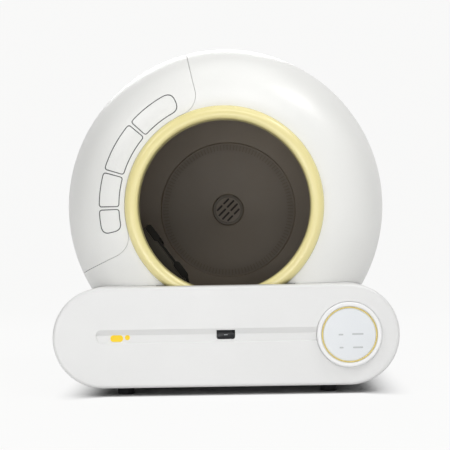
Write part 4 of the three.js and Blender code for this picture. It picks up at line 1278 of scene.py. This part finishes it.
# The stage's painted shadow: round the object's footprint the floor's colour is darker and it does not
# glow white, fading out to the sides and ahead.
STAGE = Sizes(white=(0.975, 0.975, 0.97, 1), share=0.95, middle=0.01, half_width=0.19, half_depth=0.262,
              side_fade=0.085, front_fade=0.01, spread=0.12, pale=0.87, shaded=0.55, reach=6,
              sweep_from=2.4, sweep=1.5)
LAMPS_FACE = (0, 0, 0.28)
LAMPS = [
    ("softbox_front", (0.2, -2.6, 1.9), (1.4, 1.2), 19.3),
    ("softbox_low", (-0.3, -2.4, 0.12), (1.6, 0.25), 8.4),
    ("softbox_right", (1.3, -1.1, 2.2), (0.9, 0.5), 19),
    ("softbox_left", (-1.65, -1.7, 1.85), (0.9, 0.9), 12),
    ("softbox_above", (0.2, -0.4, 2.5), (1.8, 1.6), 9),
    ("softbox_behind", (-0.3, 2.1, 1.5), (1.4, 0.8), 14),
]


def pale_stage():
    """The floor and backdrop: pale, white to the camera, and painted darker where they are beside the
    object, a painted shadow.
    """
    finish = Finish("pale_stage", Roughness=0.9)
    across, back = [finish.node("ShaderNodeSeparateXYZ", None, {0: finish.place()}, way) for way in "XY"]
    side = finish.math_of("ABSOLUTE", across - STAGE.middle, 0) - STAGE.half_width
    side = finish.math_of("MAXIMUM", side * (1 / STAGE.side_fade), 0)
    ahead = finish.math_of("MAXIMUM", finish.math_of("ABSOLUTE", back, 0) - STAGE.half_depth, 0)
    ahead = finish.math_of("DIVIDE", ahead, side * STAGE.spread + STAGE.front_fade)
    away = finish.math_of("SQRT", side * side + ahead * ahead, 0)
    clear = finish.node("ShaderNodeMapRange", {"interpolation_type": "SMOOTHSTEP"}, {"Value": away})
    grain = finish.noise(scale=3) * 0.02
    # Painted shadow: the floor's colour is darker beside and under the object.
    tone = clear * (STAGE.pale - STAGE.shaded) + STAGE.shaded + grain
    finish.feed("Base Color", finish.node("ShaderNodeCombineColor", None, {0: tone, 1: tone, 2: tone}))
    glow = finish.node("ShaderNodeEmission", None, {"Color": STAGE.white})
    seen = finish.ray("Camera", "Glossy", "Transmission")
    share = seen * clear * STAGE.share
    finish.ends_in(finish.shown(share, finish.surface, glow))
    turns = [i / 24 * pi for i in range(13)]
    sweep = [(STAGE.sweep_from + STAGE.sweep * sin(a), STAGE.sweep - STAGE.sweep * cos(a)) for a in turns]
    rows = [(-STAGE.reach, 0), *sweep, (sweep[-1][0], STAGE.reach)]
    points = [(x, y, z) for y, z in rows for x in (-STAGE.reach, STAGE.reach)]
    faces = [(2 * i, 2 * i + 1, 2 * i + 3, 2 * i + 2) for i in range(len(rows) - 1)]
    mesh = bpy.data.meshes.new("stage_sweep")
    mesh.from_pydata(points, [], faces)
    mesh.shade_smooth()
    mesh.materials.append(finish.material)
    floor = linked(bpy.data.objects.new("stage_sweep", mesh))


def lamp(name, place, size, power):
    width, height = size
    data = bpy.data.lights.new(name, "AREA")
    having(data, shape="RECTANGLE", size=width, size_y=height, energy=power)
    turn = (Vector(LAMPS_FACE) - Vector(place)).to_track_quat("-Z", "Y").to_euler()
    having(linked(bpy.data.objects.new(name, data)), location=place, rotation_euler=turn)


def studio():
    world = bpy.data.worlds.new("studio")
    bpy.context.scene.world = world
    world.use_nodes = True
    air = Nodes(world.node_tree)
    felt = air.node("ShaderNodeBackground", None, {"Color": (1, 1, 1, 1), "Strength": 0.2})
    seen = air.node("ShaderNodeBackground", None, {"Color": STAGE.white})
    air.node("ShaderNodeOutputWorld", None, {0: air.shown(air.ray("Camera"), felt, seen)})
    for spec in LAMPS:
        lamp(*spec)
    pale_stage()


for build in (housing_front, side_cover, housing_rear, entry_ring, base_top, base_pan, rubber_feet,
              drawer_front, waste_bin, bag_ring, front_mark, pod_cup, light_ring, touch_plate, touch_marks,
              sensor_window, drum_front, drum_rear, drum_ticks, vent_disc, sifter_grid, pocket_wall,
              litter_liner, scent_cartridge, power_socket, carried_over, studio):
    build()

scene = bpy.context.scene
scene.view_settings.view_transform = "Standard"
bpy.context.view_layer.update()
